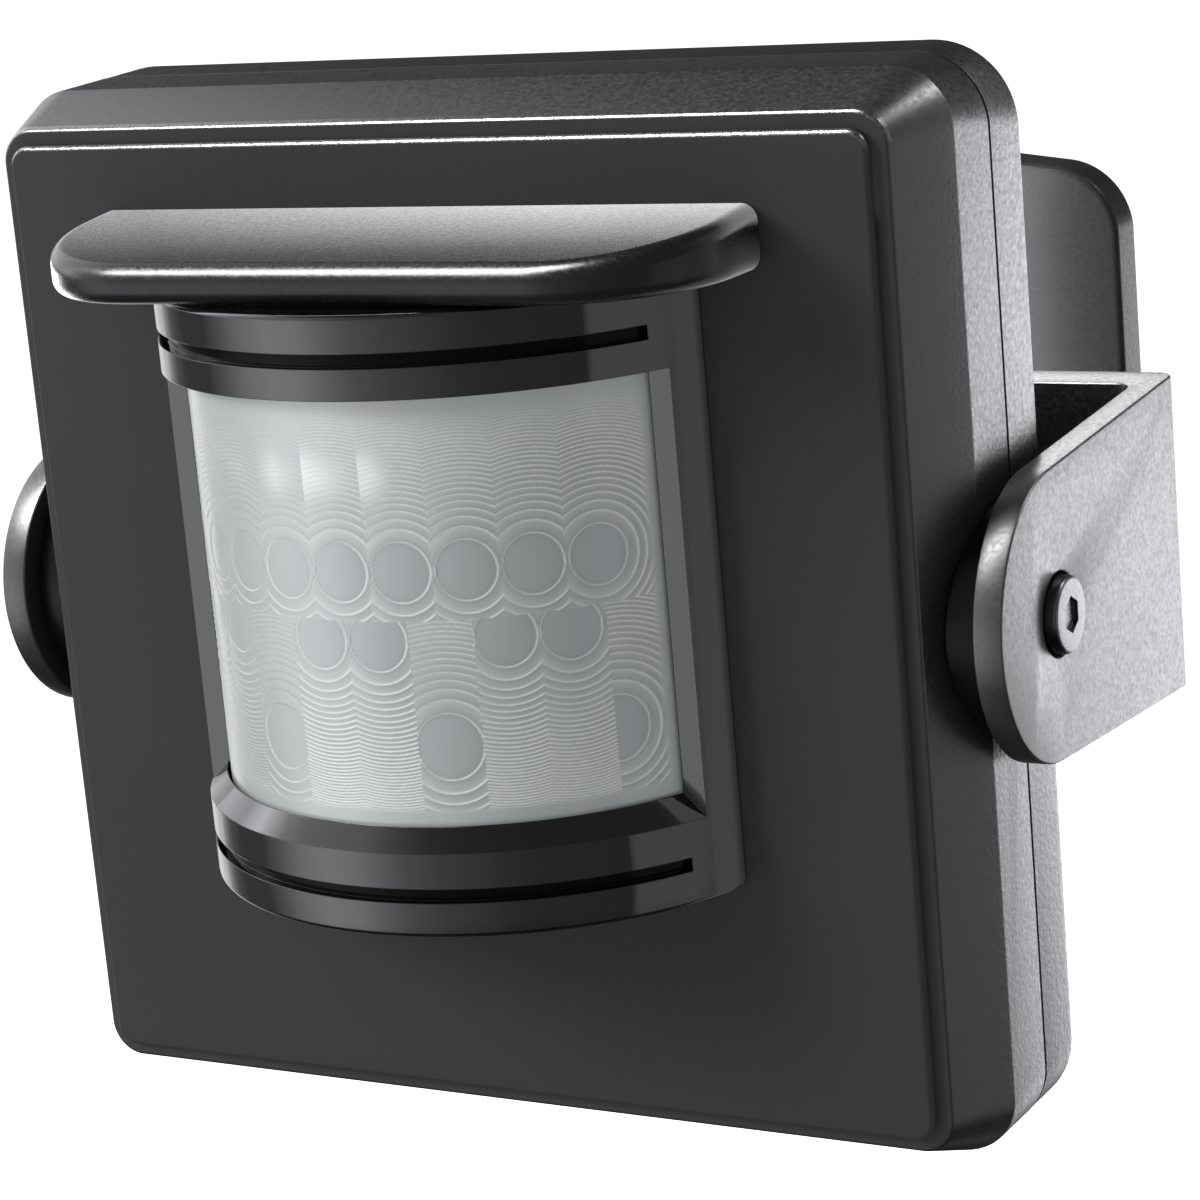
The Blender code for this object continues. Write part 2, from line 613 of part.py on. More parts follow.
# ------------------------------------------------------- circuit board and parts
def circuit_board():
    ob = loft("circuit_board", [rounded_rect(38.0, 40.0, 2.0, y, 3)
                                for y in (Y_BOARD, Y_BOARD_BACK)])
    return cut(ob, *rods(BOARD_SCREWS, 1.4, Y_BOARD - 2, Y_BOARD_BACK + 2, 10))


def pir_element():
    """Metal can with a square-cornered recess, on the front of the board."""
    z = 5.4
    profile = [(Y_BOARD - 0.2, 4.6), (Y_BOARD - 0.8, 4.6), (Y_BOARD - 0.8, 4.1),
               (Y_BOARD - 4.4, 4.1), (Y_BOARD - 4.6, 3.9)]
    ob = turned("pir_element", "y", (0, 0, z), profile, 20)
    return cut(ob, box("cutter", -2.0, 2.0, Y_BOARD - 6, Y_BOARD - 4.2, z - 1.5, z + 1.5))


def relay():
    return rounded_block("relay", -33.0, -13.0, -16.0, -1.0, Y_PARTS, Y_PARTS + 9.0, 0.6)


def film_capacitor():
    return rounded_block("film_capacitor", 12.0, 30.0, -14.0, -6.0, Y_PARTS, Y_PARTS + 8.6, 0.8)


def electrolytic_capacitor():
    """Lying can with a crimp near its left end."""
    profile = [(15.0, 3.6), (15.4, 4.0), (17.0, 4.0), (17.4, 3.7), (17.8, 4.0),
               (29.6, 4.0), (30.0, 3.6)]
    return turned("electrolytic_capacitor", "x", (0, Y_PARTS + 4.2, 8.0), profile, 16)


def varistor():
    profile = [(8.0, 3.6), (8.8, 4.7), (11.2, 4.7), (12.0, 3.6)]
    return turned("varistor", "z", (-22.0, Y_PARTS + 5.0, 0), profile, 18)


def terminal_block():
    """Block with three round holes from behind and three square ones from below."""
    ob = box("terminal_block", -7.6, 7.6, Y_PARTS, Y_PARTS + 8.4, 32.4, 39.6)
    poles = (-5.0, 0.0, 5.0)
    cutters = rods([(x, 36.4) for x in poles], 1.7, Y_PARTS + 5.5, Y_PARTS + 10, 10)
    cutters += [box("cutter", x - 1.6, x + 1.6, Y_PARTS + 1.4, Y_PARTS + 4.6, 30.0, 34.6)
                for x in poles]
    return cut(ob, *cutters)


def trimmer(name, x):
    half = 4.7
    ob = rounded_block(name, x - half, x + half, KNOB_Z - half, KNOB_Z + half,
                       Y_PARTS, Y_PARTS + 5.6, 0.5)
    return cut(ob, *rods([(x, KNOB_Z)], 2.3, Y_PARTS + 3.6, Y_PARTS + 9, 14))


def knob(name, x):
    """Slotted knob behind the case; its stem reaches into the trimmer."""
    stem, seat = Y_PARTS + 3.9, Y_BACK + GAP
    top = seat + 2.5
    profile = [(stem, 1.9), (stem + 2.0, 1.9), (stem + 2.4, 2.8), (seat, 2.8), (seat, 5.2),
               (seat + 2.0, 5.2), (top, 4.8)]
    ob = turned(name, "y", (x, 0, KNOB_Z), profile, 20)
    return cut(ob, box("cutter", x - 0.45, x + 0.45, top - 1.0, top + 2,
                       KNOB_Z - 4.0, KNOB_Z + 4.0))


finish(circuit_board(), "board_green_laminate")
finish(pir_element(), "pir_can_nickel")
finish(relay(), "relay_blue_plastic")
finish(film_capacitor(), "film_capacitor_yellow")
finish(electrolytic_capacitor(), "electrolytic_sleeve_black")
finish(varistor(), "varistor_blue_epoxy")
finish(terminal_block(), "terminal_green_plastic")
for k, (function, knob_x) in enumerate(zip(("sensitivity", "duration", "twilight"), KNOB_X)):
    finish(trimmer("trimmer_%d" % (k + 1), knob_x), "trimmer_black_plastic")
    finish(knob("knob_" + function, knob_x), "knob_grey_plastic", (knob_x, Y_BACK, KNOB_Z))


# ------------------------------------------------------------------- cable entry
def cable_grommet():
    """Rubber ring for the supply cable, gripping the back of the rear shell."""
    y_inner, y_collar = Y_FACE + 17.4, Y_FACE + 19.3
    profile = [(Y_BACK + 0.2, 6.8), (Y_BACK + 1.4, 6.8), (Y_BACK + 2.6, 4.4), (Y_BACK + 2.6, 2.6),
               (y_inner, 2.6), (y_inner, 5.6), (y_collar, 5.9), (y_collar, 4.7),
               (Y_BACK + 0.2, 4.7)]
    return turned("cable_grommet", "y", (0, 0, CABLE_Z), profile, 20, closed=True)


def cable_clamp():
    """Bar with a cable channel in its back; its front face lies 0.5 behind its front rim."""
    ob = rounded_block("cable_clamp", -11.0, 11.0, 10.4, 15.6, Y_FACE + 17.1, Y_FACE + 14.6, 0.5)
    channel = turned("cutter", "z", (0, Y_FACE + 17.9, 0), [(9.0, 3.0), (17.0, 3.0)], 16)
    return cut(ob, *case_rods(CLAMP_SCREWS, 1.4, 12, 19, 10), channel)


finish(cable_grommet(), "grommet_black_rubber")
finish(cable_clamp(), "clamp_grey_plastic")


# --------------------------------------------------------------- pan head screws
def pan_screw(name, x, z, seat, way, head_r, head_h, shank_r, length, cross):
    """Screw along y; seat is the y under the head, way (1 or -1) is where the tip points."""
    top = seat - way * head_h
    profile = [(top, head_r * 0.7), (seat - way * head_h * 0.55, head_r),
               (seat, head_r), (seat, shank_r), (seat + way * (length - shank_r * 0.7), shank_r),
               (seat + way * length, shank_r * 0.45)]
    ob = turned(name, "y", (x, 0, z), profile, 16 if cross else 10)
    if not cross:
        return ob
    y0, y1 = sorted((top - way * 1.0, top + way * head_h * 0.55))
    narrow, wide = head_r * 0.13, head_r * 0.62
    bars = [box("cutter", x - w, x + w, y0, y1, z - h, z + h)
            for w, h in ((narrow, wide), (wide, narrow))]
    return cut(ob, join(*bars))


LEFT_RIGHT, NUMBERS = ("left", "right"), "1234"
# name, suffixes, places, origin,
#     seat, way of the tip, head radius, head height, shank radius, length, cross recess
PAN_SCREWS = (
    ("bracket_screw_", LEFT_RIGHT, BRACKET_SCREWS, WALL_ORIGIN,
     (YOKE_BACK - YOKE_PLATE_T - 0.05, 1, 3.7, 2.5, 1.9, 7.6, True)),
    ("case_screw_", NUMBERS, CASE_SCREWS, PIVOT,
     (Y_FACE + 18.6, -1, 2.8, 2.2, 1.45, 11.5, True)),
    ("frame_screw_", NUMBERS, FRAME_SCREWS, PIVOT,
     (Y_FACE + 3.55, -1, 2.2, 1.5, 1.05, 8.0, False)),
    ("hood_screw_", LEFT_RIGHT, HOOD_SCREWS, PIVOT,
     (Y_FACE + 3.55, -1, 2.2, 1.5, 1.05, 11.5, False)),
    ("board_screw_", NUMBERS, BOARD_SCREWS, PIVOT,
     (Y_BOARD - 0.15, 1, 2.1, 1.5, 1.0, 7.6, False)),
    ("clamp_screw_", NUMBERS, CLAMP_SCREWS, PIVOT,
     (Y_FACE + 14.45, 1, 2.0, 1.4, 1.0, 5.0, False)),
)

for screw_name, suffixes, places, screw_origin, sizes in PAN_SCREWS:
    for suffix, (screw_x, screw_z) in zip(suffixes, places):
        finish(pan_screw(screw_name + suffix, screw_x, screw_z, *sizes),
               "screw_plated_steel", screw_origin)
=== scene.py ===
"""Wall mounted motion sensor: a tilting head with a rain hood, held by a yoke on a wall plate.

Building lengths are millimetres in the CAD frame. The wall is the plane y = 0, the sensor
looks toward -Y, z points up and z = 0 is the height of the tilt axis. Left is -X.
"""
import math
from functools import cached_property

import bmesh
import bpy
import numpy as np
from mathutils import Matrix, Vector

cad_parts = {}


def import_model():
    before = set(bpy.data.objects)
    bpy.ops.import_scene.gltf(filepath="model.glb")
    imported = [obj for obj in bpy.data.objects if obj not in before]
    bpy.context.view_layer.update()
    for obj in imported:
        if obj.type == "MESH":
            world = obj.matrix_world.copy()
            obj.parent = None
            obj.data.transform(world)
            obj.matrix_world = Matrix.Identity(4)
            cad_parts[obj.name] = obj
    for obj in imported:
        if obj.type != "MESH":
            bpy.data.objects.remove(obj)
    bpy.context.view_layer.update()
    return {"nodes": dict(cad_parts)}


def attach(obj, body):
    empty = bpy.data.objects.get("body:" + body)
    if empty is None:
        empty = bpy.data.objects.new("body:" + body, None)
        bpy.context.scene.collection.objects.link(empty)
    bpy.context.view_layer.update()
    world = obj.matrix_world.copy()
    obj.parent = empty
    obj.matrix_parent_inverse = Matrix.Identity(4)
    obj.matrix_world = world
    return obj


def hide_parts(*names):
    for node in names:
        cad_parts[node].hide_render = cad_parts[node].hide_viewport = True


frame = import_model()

MM = 0.001

# ------------------------------------------------------------ driving dimensions
SIDES = (("left", -1), ("right", 1))
GAP = 0.3                                    # clearance between neighbouring pieces
Y_FACE = -52.0                               # front of the sensor head
CASE_DEPTH = 21.8
Y_BACK = Y_FACE + CASE_DEPTH
PIVOT = (0.0, -37.0, 0.0)
Y_PIVOT = PIVOT[1]
CABLE_Z = 26.0

PLATE_W, PLATE_H, PLATE_R = 90.0, 91.2, 2.0  # front plate and its corner radius
LEDGE, LEDGE_DEPTH = 1.4, 1.15               # rim of the front shell round the plate
SHOULDER = (4.25, 8.7)                       # case outline: growth over the plate, depth
JOINT_GROW = 4.6                             # growth of the case where the shells meet
FRONT_END, REAR_START = 15.3, 15.7           # depths of the two shells at their joint
WIDEST = (4.9, 20.8)                         # growth and depth of the widest outline
CORNER_DEPTHS = (0.0, 1.15, 8.7, 15.5, 20.8, 30.0)
CORNER_RADII = (2.9, 3.2, 5.6, 6.75, 7.8, 7.8)
CASE_SCREWS = [(x, z) for x in (-42.0, 42.0) for z in (-42.6, 42.6)]

# Curved lens and its frame: cylinders round vertical axes at (0, YC); half angles in degrees
FRAME_R, FRAME_YC = 29.9, Y_FACE + 9.7
FRAME_Z0, FRAME_Z1 = -22.8, 33.3
LENS_R, LENS_YC, LENS_T, LENS_ANGLE = 27.2, Y_FACE + 8.75, 1.0, 66.0
LENS_Z0, LENS_Z1 = -13.6, 27.0
WINDOW_INNER = (62.8, -12.7, 25.6)           # half angle, lower z, upper z
WINDOW_OUTER = (63.2, -15.0, 25.8)
GROOVES = ((-19.6, -18.3), (28.6, 29.9))     # lower z, upper z
GROOVE_DEPTH, GROOVE_ANGLE = 0.9, 59.5

HOOD_HALF, HOOD_DEPTH, HOOD_R = 34.5, 18.0, 13.6
HOOD_Z0, HOOD_Z_BACK, HOOD_Z_FRONT, HOOD_EDGE = 33.6, 39.5, 37.1, 1.5

EAR_IN, EAR_OUT, NOSE_R = 51.0, 53.8, 13.4   # yoke ears: x of both faces, end radius
YOKE_BACK, YOKE_PLATE_T, YOKE_HALF_H = -5.0, 4.3, 15.5
YOKE_FRONT = YOKE_BACK - YOKE_PLATE_T
BRACKET_SCREW_X = 32.0
HUB_R = 11.5
SCREW_HEAD_R, SCREW_R = 3.55, 2.0            # pivot screws
BORE_R = SCREW_R + 0.2

WALL_HALF, WALL_TOP, WALL_BOTTOM, WALL_T = 48.5, 38.5, -16.0, 4.7
KNOBS = (("knob_sensitivity", -16.0), ("knob_duration", 0.0), ("knob_twilight", 16.0))
KNOB_Z = -30.0


# -------------------------------------------------------------------- mesh tools
def new_object(name, bm, recalc=True):
    if recalc:
        bmesh.ops.recalc_face_normals(bm, faces=bm.faces)
    mesh = bpy.data.meshes.new(name)
    bm.to_mesh(mesh)
    bm.free()
    ob = bpy.data.objects.new(name, mesh)
    bpy.context.scene.collection.objects.link(ob)
    return ob


def loft(name, rings, closed=False):
    """Solid through equally long rings of points; ends capped unless closed."""
    bm = bmesh.new()
    loops = [[bm.verts.new(Vector(p) * MM) for p in ring] for ring in rings]
    count = len(rings[0])
    pairs = list(zip(loops, loops[1:])) + ([(loops[-1], loops[0])] if closed else [])
    for a, b in pairs:
        for i in range(count):
            j = (i + 1) % count
            bm.faces.new((a[i], a[j], b[j], b[i]))
    if not closed:
        bm.faces.new(loops[0])
        bm.faces.new(loops[-1])
    return new_object(name, bm)


def quarter(steps):
    """Angles from 0 to 90 degrees, in radians."""
    return [math.radians(90.0 * i / steps) for i in range(steps + 1)]


def mirrored(points):
    """The points with x negated, in reverse order."""
    return [(-x, y) for x, y in reversed(points)]


def rounded_rect(half_x, half_z, radius, y, centre_z=0.0, steps=16):
    points = []
    for k, (sx, sz) in enumerate(((1, 1), (-1, 1), (-1, -1), (1, -1))):
        for i in range(steps + 1):
            t = math.radians(90.0 * k + 90.0 * i / steps)
            points.append((sx * (half_x - radius) + radius * math.cos(t), y,
                           centre_z + sz * (half_z - radius) + radius * math.sin(t)))
    return points


def turned(name, axis, at, profile, steps=64, turn=0.0, closed=False):
    """Solid turned round the x or y axis; profile is (station along the axis, radius)."""
    x, y, z = at
    rings = []
    for station, radius in profile:
        ring = []
        for i in range(steps):
            t = 2 * math.pi * i / steps + turn
            u, v = radius * math.cos(t), radius * math.sin(t)
            ring.append((station, y + u, z + v) if axis == "x" else (x + u, station, z + v))
        rings.append(ring)
    return loft(name, rings, closed)


def prism(name, outline, axis, a, b):
    place = {"x": lambda u, v, s: (s, u, v),
             "y": lambda u, v, s: (u, s, v),
             "z": lambda u, v, s: (u, v, s)}[axis]
    return loft(name, [[place(u, v, s) for u, v in outline] for s in (a, b)])


def box(x0, x1, y0, y1, z0, z1):
    return loft("cutter", [[(x0, y, z0), (x1, y, z0), (x1, y, z1), (x0, y, z1)]
                           for y in (y0, y1)])


def drill(at, axis, radius, a, b, steps=40):
    return turned("cutter", axis, at, [(a, radius), (b, radius)], steps)


def curved_block(inner, outer, steps=144):
    """Block between two cylinder patches: (axis y, radius, half angle, lower z, upper z)."""
    rings = []
    for i in range(steps + 1):
        f = 2.0 * i / steps - 1.0
        edges = []
        for axis_y, radius, half, z0, z1 in (inner, outer):
            t = math.radians(half * f)
            x, y = radius * math.sin(t), axis_y - radius * math.cos(t)
            edges.append(((x, y, z0), (x, y, z1)))
        (low_in, high_in), (low_out, high_out) = edges
        rings.append([low_in, low_out, high_out, high_in])
    return loft("cutter", rings)


def d_outline(axis_y, radius, y_base, steps=144):
    """Arc toward -Y whose chord lies at y_base, as (x, y)."""
    half = math.acos((axis_y - y_base) / radius)
    angles = [half * (2.0 * i / steps - 1.0) for i in range(steps + 1)]
    return [(radius * math.sin(t), axis_y - radius * math.cos(t)) for t in angles]


def fillet_path(points, steps=6):
    """Polyline with its corners rounded: points are (u, v, radius)."""
    out = []
    last = len(points) - 1
    for i, (u, v, radius) in enumerate(points):
        if radius <= 0 or i in (0, last):
            out.append((u, v))
            continue
        corner = Vector((u, v))
        before = Vector(points[i - 1][:2]) - corner
        after = Vector(points[i + 1][:2]) - corner
        half = before.angle(after) / 2
        reach = min(radius / math.tan(half), before.length * 0.49, after.length * 0.49)
        radius = reach * math.tan(half)
        before.normalize()
        after.normalize()
        centre = corner + (before + after).normalized() * (radius / math.sin(half))
        start, end = corner + before * reach, corner + after * reach
        a0 = math.atan2(start.y - centre.y, start.x - centre.x)
        a1 = math.atan2(end.y - centre.y, end.x - centre.x)
        sweep = (a1 - a0 + math.pi) % (2 * math.pi) - math.pi
        for k in range(steps + 1):
            t = a0 + sweep * k / steps
            out.append((centre.x + radius * math.cos(t), centre.y + radius * math.sin(t)))
    return out


def bake(ob):
    """Replaces the mesh by its evaluated form and drops the modifiers."""
    bpy.context.view_layer.update()
    depsgraph = bpy.context.evaluated_depsgraph_get()
    mesh = bpy.data.meshes.new_from_object(ob.evaluated_get(depsgraph))
    old = ob.data
    ob.modifiers.clear()
    ob.data = mesh
    mesh.name = ob.name
    bpy.data.meshes.remove(old)


def weld(mesh, reach):
    """Merges points within reach (metres) and counts the edges without exactly two faces."""
    bm = bmesh.new()
    bm.from_mesh(mesh)
    bmesh.ops.remove_doubles(bm, verts=bm.verts, dist=reach)
    bmesh.ops.dissolve_degenerate(bm, edges=bm.edges, dist=reach)
    bad = sum(1 for e in bm.edges if len(e.link_faces) != 2)
    bm.to_mesh(mesh)
    bm.free()
    return bad


def combine(ob, others, operation):
    for k, other in enumerate(others):
        modifier = ob.modifiers.new("b%d" % k, "BOOLEAN")
        modifier.operation = operation
        modifier.solver = "EXACT"
        modifier.object = other
    bake(ob)
    for other in others:
        mesh = other.data
        bpy.data.objects.remove(other)
        bpy.data.meshes.remove(mesh)
    weld(ob.data, reach=1.5e-6)
    return ob


def cut(ob, *others):
    return combine(ob, others, "DIFFERENCE")


def join(ob, *others):
    return combine(ob, others, "UNION")


def common(ob, *others):
    return combine(ob, others, "INTERSECT")


def round_edges(ob, width, segments, angle):
    """Real fillets along every sharp edge; left as it was if that would open the mesh."""
    keep = ob.data.copy()
    modifier = ob.modifiers.new("fillet", "BEVEL")
    modifier.width = width * MM
    modifier.segments = segments
    modifier.limit_method = "ANGLE"
    modifier.angle_limit = math.radians(angle)
    modifier.use_clamp_overlap = True
    modifier.miter_outer = "MITER_ARC"
    bake(ob)
    if weld(ob.data, reach=1.0e-6):
        ob.data = keep
    return ob


# ---------------------------------------------------------------- material tools
NOISE_SPAN = (0.3, 0.7)     # the range that noise values mostly fall in


def lin(rgb):
    """sRGB to linear."""
    return tuple(v / 12.92 if v <= 0.04045 else ((v + 0.055) / 1.055) ** 2.4 for v in rgb)


def tone(colour, factor):
    return tuple(min(1.0, v * factor) for v in colour)


class Tree:
    """Writes the nodes and links of a shader tree."""

    def __init__(self, tree):
        self.tree = tree
        tree.nodes.clear()

    def feed(self, socket, value):
        """Links a socket, or sets its value; an rgb triple gets its alpha where needed."""
        if isinstance(value, bpy.types.NodeSocket):
            self.tree.links.new(value, socket)
        elif isinstance(value, tuple) and len(socket.default_value) == 4:
            socket.default_value = (*value, 1.0)
        else:
            socket.default_value = value

    def node(self, kind, inputs=None, **settings):
        node = self.tree.nodes.new("ShaderNode" + kind)
        for key, value in settings.items():
            setattr(node, key, value)
        for key, value in (inputs or {}).items():
            self.feed(node.inputs[key], value)
        return node

    def calc(self, operation, *values):
        return self.node("Math", dict(enumerate(values)), operation=operation).outputs[0]

    def mix(self, factor, a, b):
        return self.node("Mix", {0: factor, 6: a, 7: b}, data_type="RGBA").outputs[2]

    def separate(self, vector):
        return self.node("SeparateXYZ", {0: vector}).outputs

    def remap(self, value, span, to=(0.0, 1.0), smooth=False):
        """Maps span onto to, clamped at both ends."""
        return self.node("MapRange", {"From Min": span[0], "From Max": span[1],
                                      "To Min": to[0], "To Max": to[1], "Value": value},
                         interpolation_type="SMOOTHSTEP" if smooth else "LINEAR").outputs["Result"]


class Material(Tree):
    """A principled material; its textures work in millimetres."""

    def __init__(self, name):
        self.data = bpy.data.materials.new(name)
        self.data.use_nodes = True
        super().__init__(self.data.node_tree)
        output = self.node("OutputMaterial")
        self.shader = self.node("BsdfPrincipled")
        self.feed(output.inputs[0], self.shader.outputs[0])

    def set(self, key, value):
        self.feed(self.shader.inputs[key], value)

    def metres(self):
        return self.node("TexCoord").outputs["Object"]

    @cached_property
    def mm(self):
        return self.node("Mapping", {"Vector": self.metres(),
                                     "Scale": (1000.0, 1000.0, 1000.0)}).outputs[0]

    def noise(self, scale, detail=2.0, rough=0.5):
        return self.node("TexNoise", {"Scale": scale, "Detail": detail, "Roughness": rough,
                                      "Vector": self.mm}).outputs["Fac"]

    def voronoi(self, scale, feature="F1", randomness=1.0):
        return self.node("TexVoronoi", {"Scale": scale, "Randomness": randomness,
                                        "Vector": self.mm}, feature=feature).outputs["Distance"]

    def bump(self, height, strength, distance, normal=None):
        inputs = {"Strength": strength, "Distance": distance * MM, "Height": height}
        if normal is not None:
            inputs["Normal"] = normal
        return self.node("Bump", inputs).outputs[0]

    def bevel(self, radius, samples=4):
        return self.node("Bevel", {"Radius": radius * MM}, samples=samples).outputs[0]

    def attribute(self, name):
        return self.node("Attribute", attribute_name=name).outputs["Fac"]


def textured_plastic(name, rgb, rough, *, grain, depth, blotch=0.10, edge=0.0, spec=0.5,
                     rough_var=0.07, polished=None, matt=None, matt_rgb=None, smooth=None):
    """Moulded plastic with a fine spark eroded skin.

    grain is the size of the texture cells and depth their height, both in mm. In front of
    y = polished the rounded edge is polished; in front of y = matt the faces toward -Y are
    dull. smooth is the height of the skin away from the side walls, as a part of the full."""
    mat = Material(name)
    base = lin(rgb)
    broad = mat.noise(scale=0.035, detail=3.0, rough=0.55)
    fine = mat.noise(scale=1.0 / grain, detail=3.0, rough=0.6)
    cells = mat.voronoi(scale=0.55 / grain, feature="SMOOTH_F1")
    colour = mat.mix(mat.remap(broad, NOISE_SPAN, smooth=True),
                     tone(base, 1 - blotch), tone(base, 1 + blotch))
    colour = mat.mix(mat.remap(fine, (0.35, 0.75), to=(0.0, 0.35)), colour, tone(base, 1.35))
    height = mat.calc("ADD", mat.calc("MULTIPLY", fine, 0.6), mat.calc("MULTIPLY", cells, 0.5))
    roughness = mat.remap(mat.noise(scale=0.5 / grain), NOISE_SPAN,
                          to=(rough - rough_var, rough + rough_var))
    shine = spec
    if polished is not None or smooth is not None:
        x, y, _ = mat.separate(mat.mm)
    if polished is not None or matt is not None:
        _, facing_y, facing_z = mat.separate(mat.node("NewGeometry").outputs["Normal"])
    if matt is not None:
        dull = mat.calc("MULTIPLY", mat.remap(y, (matt, matt + 0.1), to=(1.0, 0.0)),
                        mat.remap(facing_y, (-0.97, -0.93), to=(1.0, 0.0)))
        shine = mat.calc("MULTIPLY", mat.remap(dull, (0.0, 1.0), to=(1.0, 0.1)), spec)
        colour = mat.mix(dull, colour, lin(matt_rgb))
    if polished is not None:
        turned_up = mat.calc("MULTIPLY", mat.remap(facing_y, (-0.98, -0.93)),
                             mat.remap(facing_z, (0.05, 0.3)))
        arris = mat.calc("MULTIPLY", mat.remap(y, (polished, polished + 0.12), to=(1.0, 0.0)),
                         turned_up)
        glint = mat.remap(mat.noise(scale=2.6, rough=0.7), (0.36, 0.56), to=(0.15, 1.0))
        shine = mat.calc("ADD", shine, mat.calc("MULTIPLY", arris, glint))
        roughness = mat.calc("ADD", roughness, mat.calc("MULTIPLY", arris, 0.24 - rough))
    if smooth is not None:
        wall = mat.remap(mat.calc("ABSOLUTE", x), (48.0, 49.0), to=(smooth, 1.0))
        height = mat.calc("MULTIPLY", height, wall)
    mat.set("Base Color", colour)
    mat.set("Normal", mat.bump(height, strength=1.0, distance=depth,
                               normal=mat.bevel(edge) if edge else None))
    mat.set("Roughness", roughness)
    mat.set("Specular IOR Level", shine)
    return mat


def groove_mask(mat):
    """1 on the floors of the two grooves of the lens frame."""
    x, y, z = mat.separate(mat.metres())
    from_axis = mat.calc("SUBTRACT", y, FRAME_YC * MM)
    radius = mat.calc("SQRT", mat.calc("ADD", mat.calc("MULTIPLY", x, x),
                                       mat.calc("MULTIPLY", from_axis, from_axis)))
    deep = mat.calc("LESS_THAN", radius, (FRAME_R - 0.25) * MM)
    mask = 0.0
    for z0, z1 in GROOVES:
        inside = mat.calc("MULTIPLY", mat.calc("GREATER_THAN", z, (z0 + 0.02) * MM),
                          mat.calc("LESS_THAN", z, (z1 - 0.02) * MM))
        mask = mat.calc("ADD", inside, mask)
    front = mat.calc("LESS_THAN", from_axis, -0.009)
    return mat.calc("MULTIPLY", mat.calc("MULTIPLY", mask, deep), front)


def frame_material():
    """Almost mirror like plastic with flow waves and dust; its groove floors reflect little."""
    rough = 0.055
    mat = Material("lens_frame_gloss")
    base = lin((0.055, 0.055, 0.06))
    flow = mat.noise(scale=0.05, rough=0.4)
    dust = mat.remap(mat.voronoi(scale=0.55), (0.0, 0.05), to=(1.0, 0.0))
    waves = mat.mix(mat.remap(flow, NOISE_SPAN), tone(base, 0.92), tone(base, 1.1))
    mat.set("Base Color", mat.mix(mat.calc("MULTIPLY", dust, 0.25), waves, (0.12, 0.12, 0.12)))
    polish = mat.remap(mat.noise(scale=0.25, detail=3.0), NOISE_SPAN,
                       to=(rough * 0.8, rough * 1.25))
    mat.set("Roughness", mat.calc("ADD", polish, mat.calc("MULTIPLY", dust, 0.2)))
    mat.set("Normal", mat.bump(flow, strength=0.25, distance=0.05,
                               normal=mat.bevel(0.12, samples=6)))
    mat.set("Specular IOR Level",
            mat.calc("SUBTRACT", 0.5, mat.calc("MULTIPLY", groove_mask(mat), 0.47)))
    return mat


def metal(name, rgb, rough):
    """Plated steel with a fine grain."""
    mat = Material(name)
    base = lin(rgb)
    grain = mat.noise(scale=6.0, detail=3.0, rough=0.65)
    mat.set("Metallic", 1.0)
    mat.set("Base Color", mat.mix(mat.remap(mat.noise(scale=0.4, detail=3.0), NOISE_SPAN),
                                  tone(base, 0.88), base))
    mat.set("Roughness", mat.remap(grain, NOISE_SPAN, to=(rough * 0.75, rough * 1.3)))
    mat.set("Normal", mat.bump(grain, strength=0.35, distance=0.02, normal=mat.bevel(0.08)))
    return mat


def rubber_material():
    mat = Material("black_rubber")
    base = lin((0.10, 0.10, 0.10))
    fine = mat.noise(scale=4.5, detail=3.0, rough=0.6)
    mat.set("Base Color", mat.mix(mat.remap(mat.noise(scale=0.2, detail=3.0), NOISE_SPAN),
                                  tone(base, 0.8), tone(base, 1.4)))
    mat.set("Roughness", mat.remap(fine, NOISE_SPAN, to=(0.68, 0.88)))
    mat.set("Normal", mat.bump(fine, strength=0.5, distance=0.03, normal=mat.bevel(0.2)))
    mat.set("Specular IOR Level", 0.35)
    return mat


def add_plate_sheen(mat):
    """Glow of the front plate that only reflections see: in the lens frame and the hood.

    The spans are metres."""
    x, _, z = mat.separate(mat.metres())
    right = mat.calc("MULTIPLY", mat.remap(x, (0.0275, 0.031)),
                     mat.remap(z, (0.033, 0.037), to=(1.0, 0.0)))
    left = mat.calc("MULTIPLY", mat.remap(x, (-0.028, -0.034), to=(0.0, 1.15)),
                    mat.remap(z, (0.034, 0.038), to=(1.0, 0.0)))
    above = mat.calc("MULTIPLY", mat.remap(z, (0.0385, 0.0470), to=(4.6, 0.25)),
                     mat.remap(x, (-0.030, 0.016), to=(0.42, 1.0)))
    above = mat.calc("MULTIPLY", above, mat.remap(z, (0.0375, 0.0385)))
    sheen = mat.calc("MAXIMUM", mat.calc("ADD", right, left), above)
    reflected = mat.node("LightPath").outputs["Is Glossy Ray"]
    mat.set("Emission Strength", mat.calc("MULTIPLY", sheen, reflected))
    mat.set("Emission Color", (1.0, 1.0, 1.0))


def use(ob, mat):
    ob.data.materials.clear()
    ob.data.materials.append(mat.data)
    for p in ob.data.polygons:
        p.material_index = 0


def shade(ob, angle):
    """Smooth shading, broken at edges sharper than the angle in degrees."""
    ob.data.shade_smooth()
    ob.data.set_sharp_from_angle(angle=math.radians(angle))


def piece(ob, mat, body, replaced, angle=30.0):
    """Finishes a visible piece: shading, material and body; hides the CAD node it stands for."""
    if angle is not None:
        shade(ob, angle)
    use(ob, mat)
    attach(ob, body)
    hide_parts(replaced)
    return ob


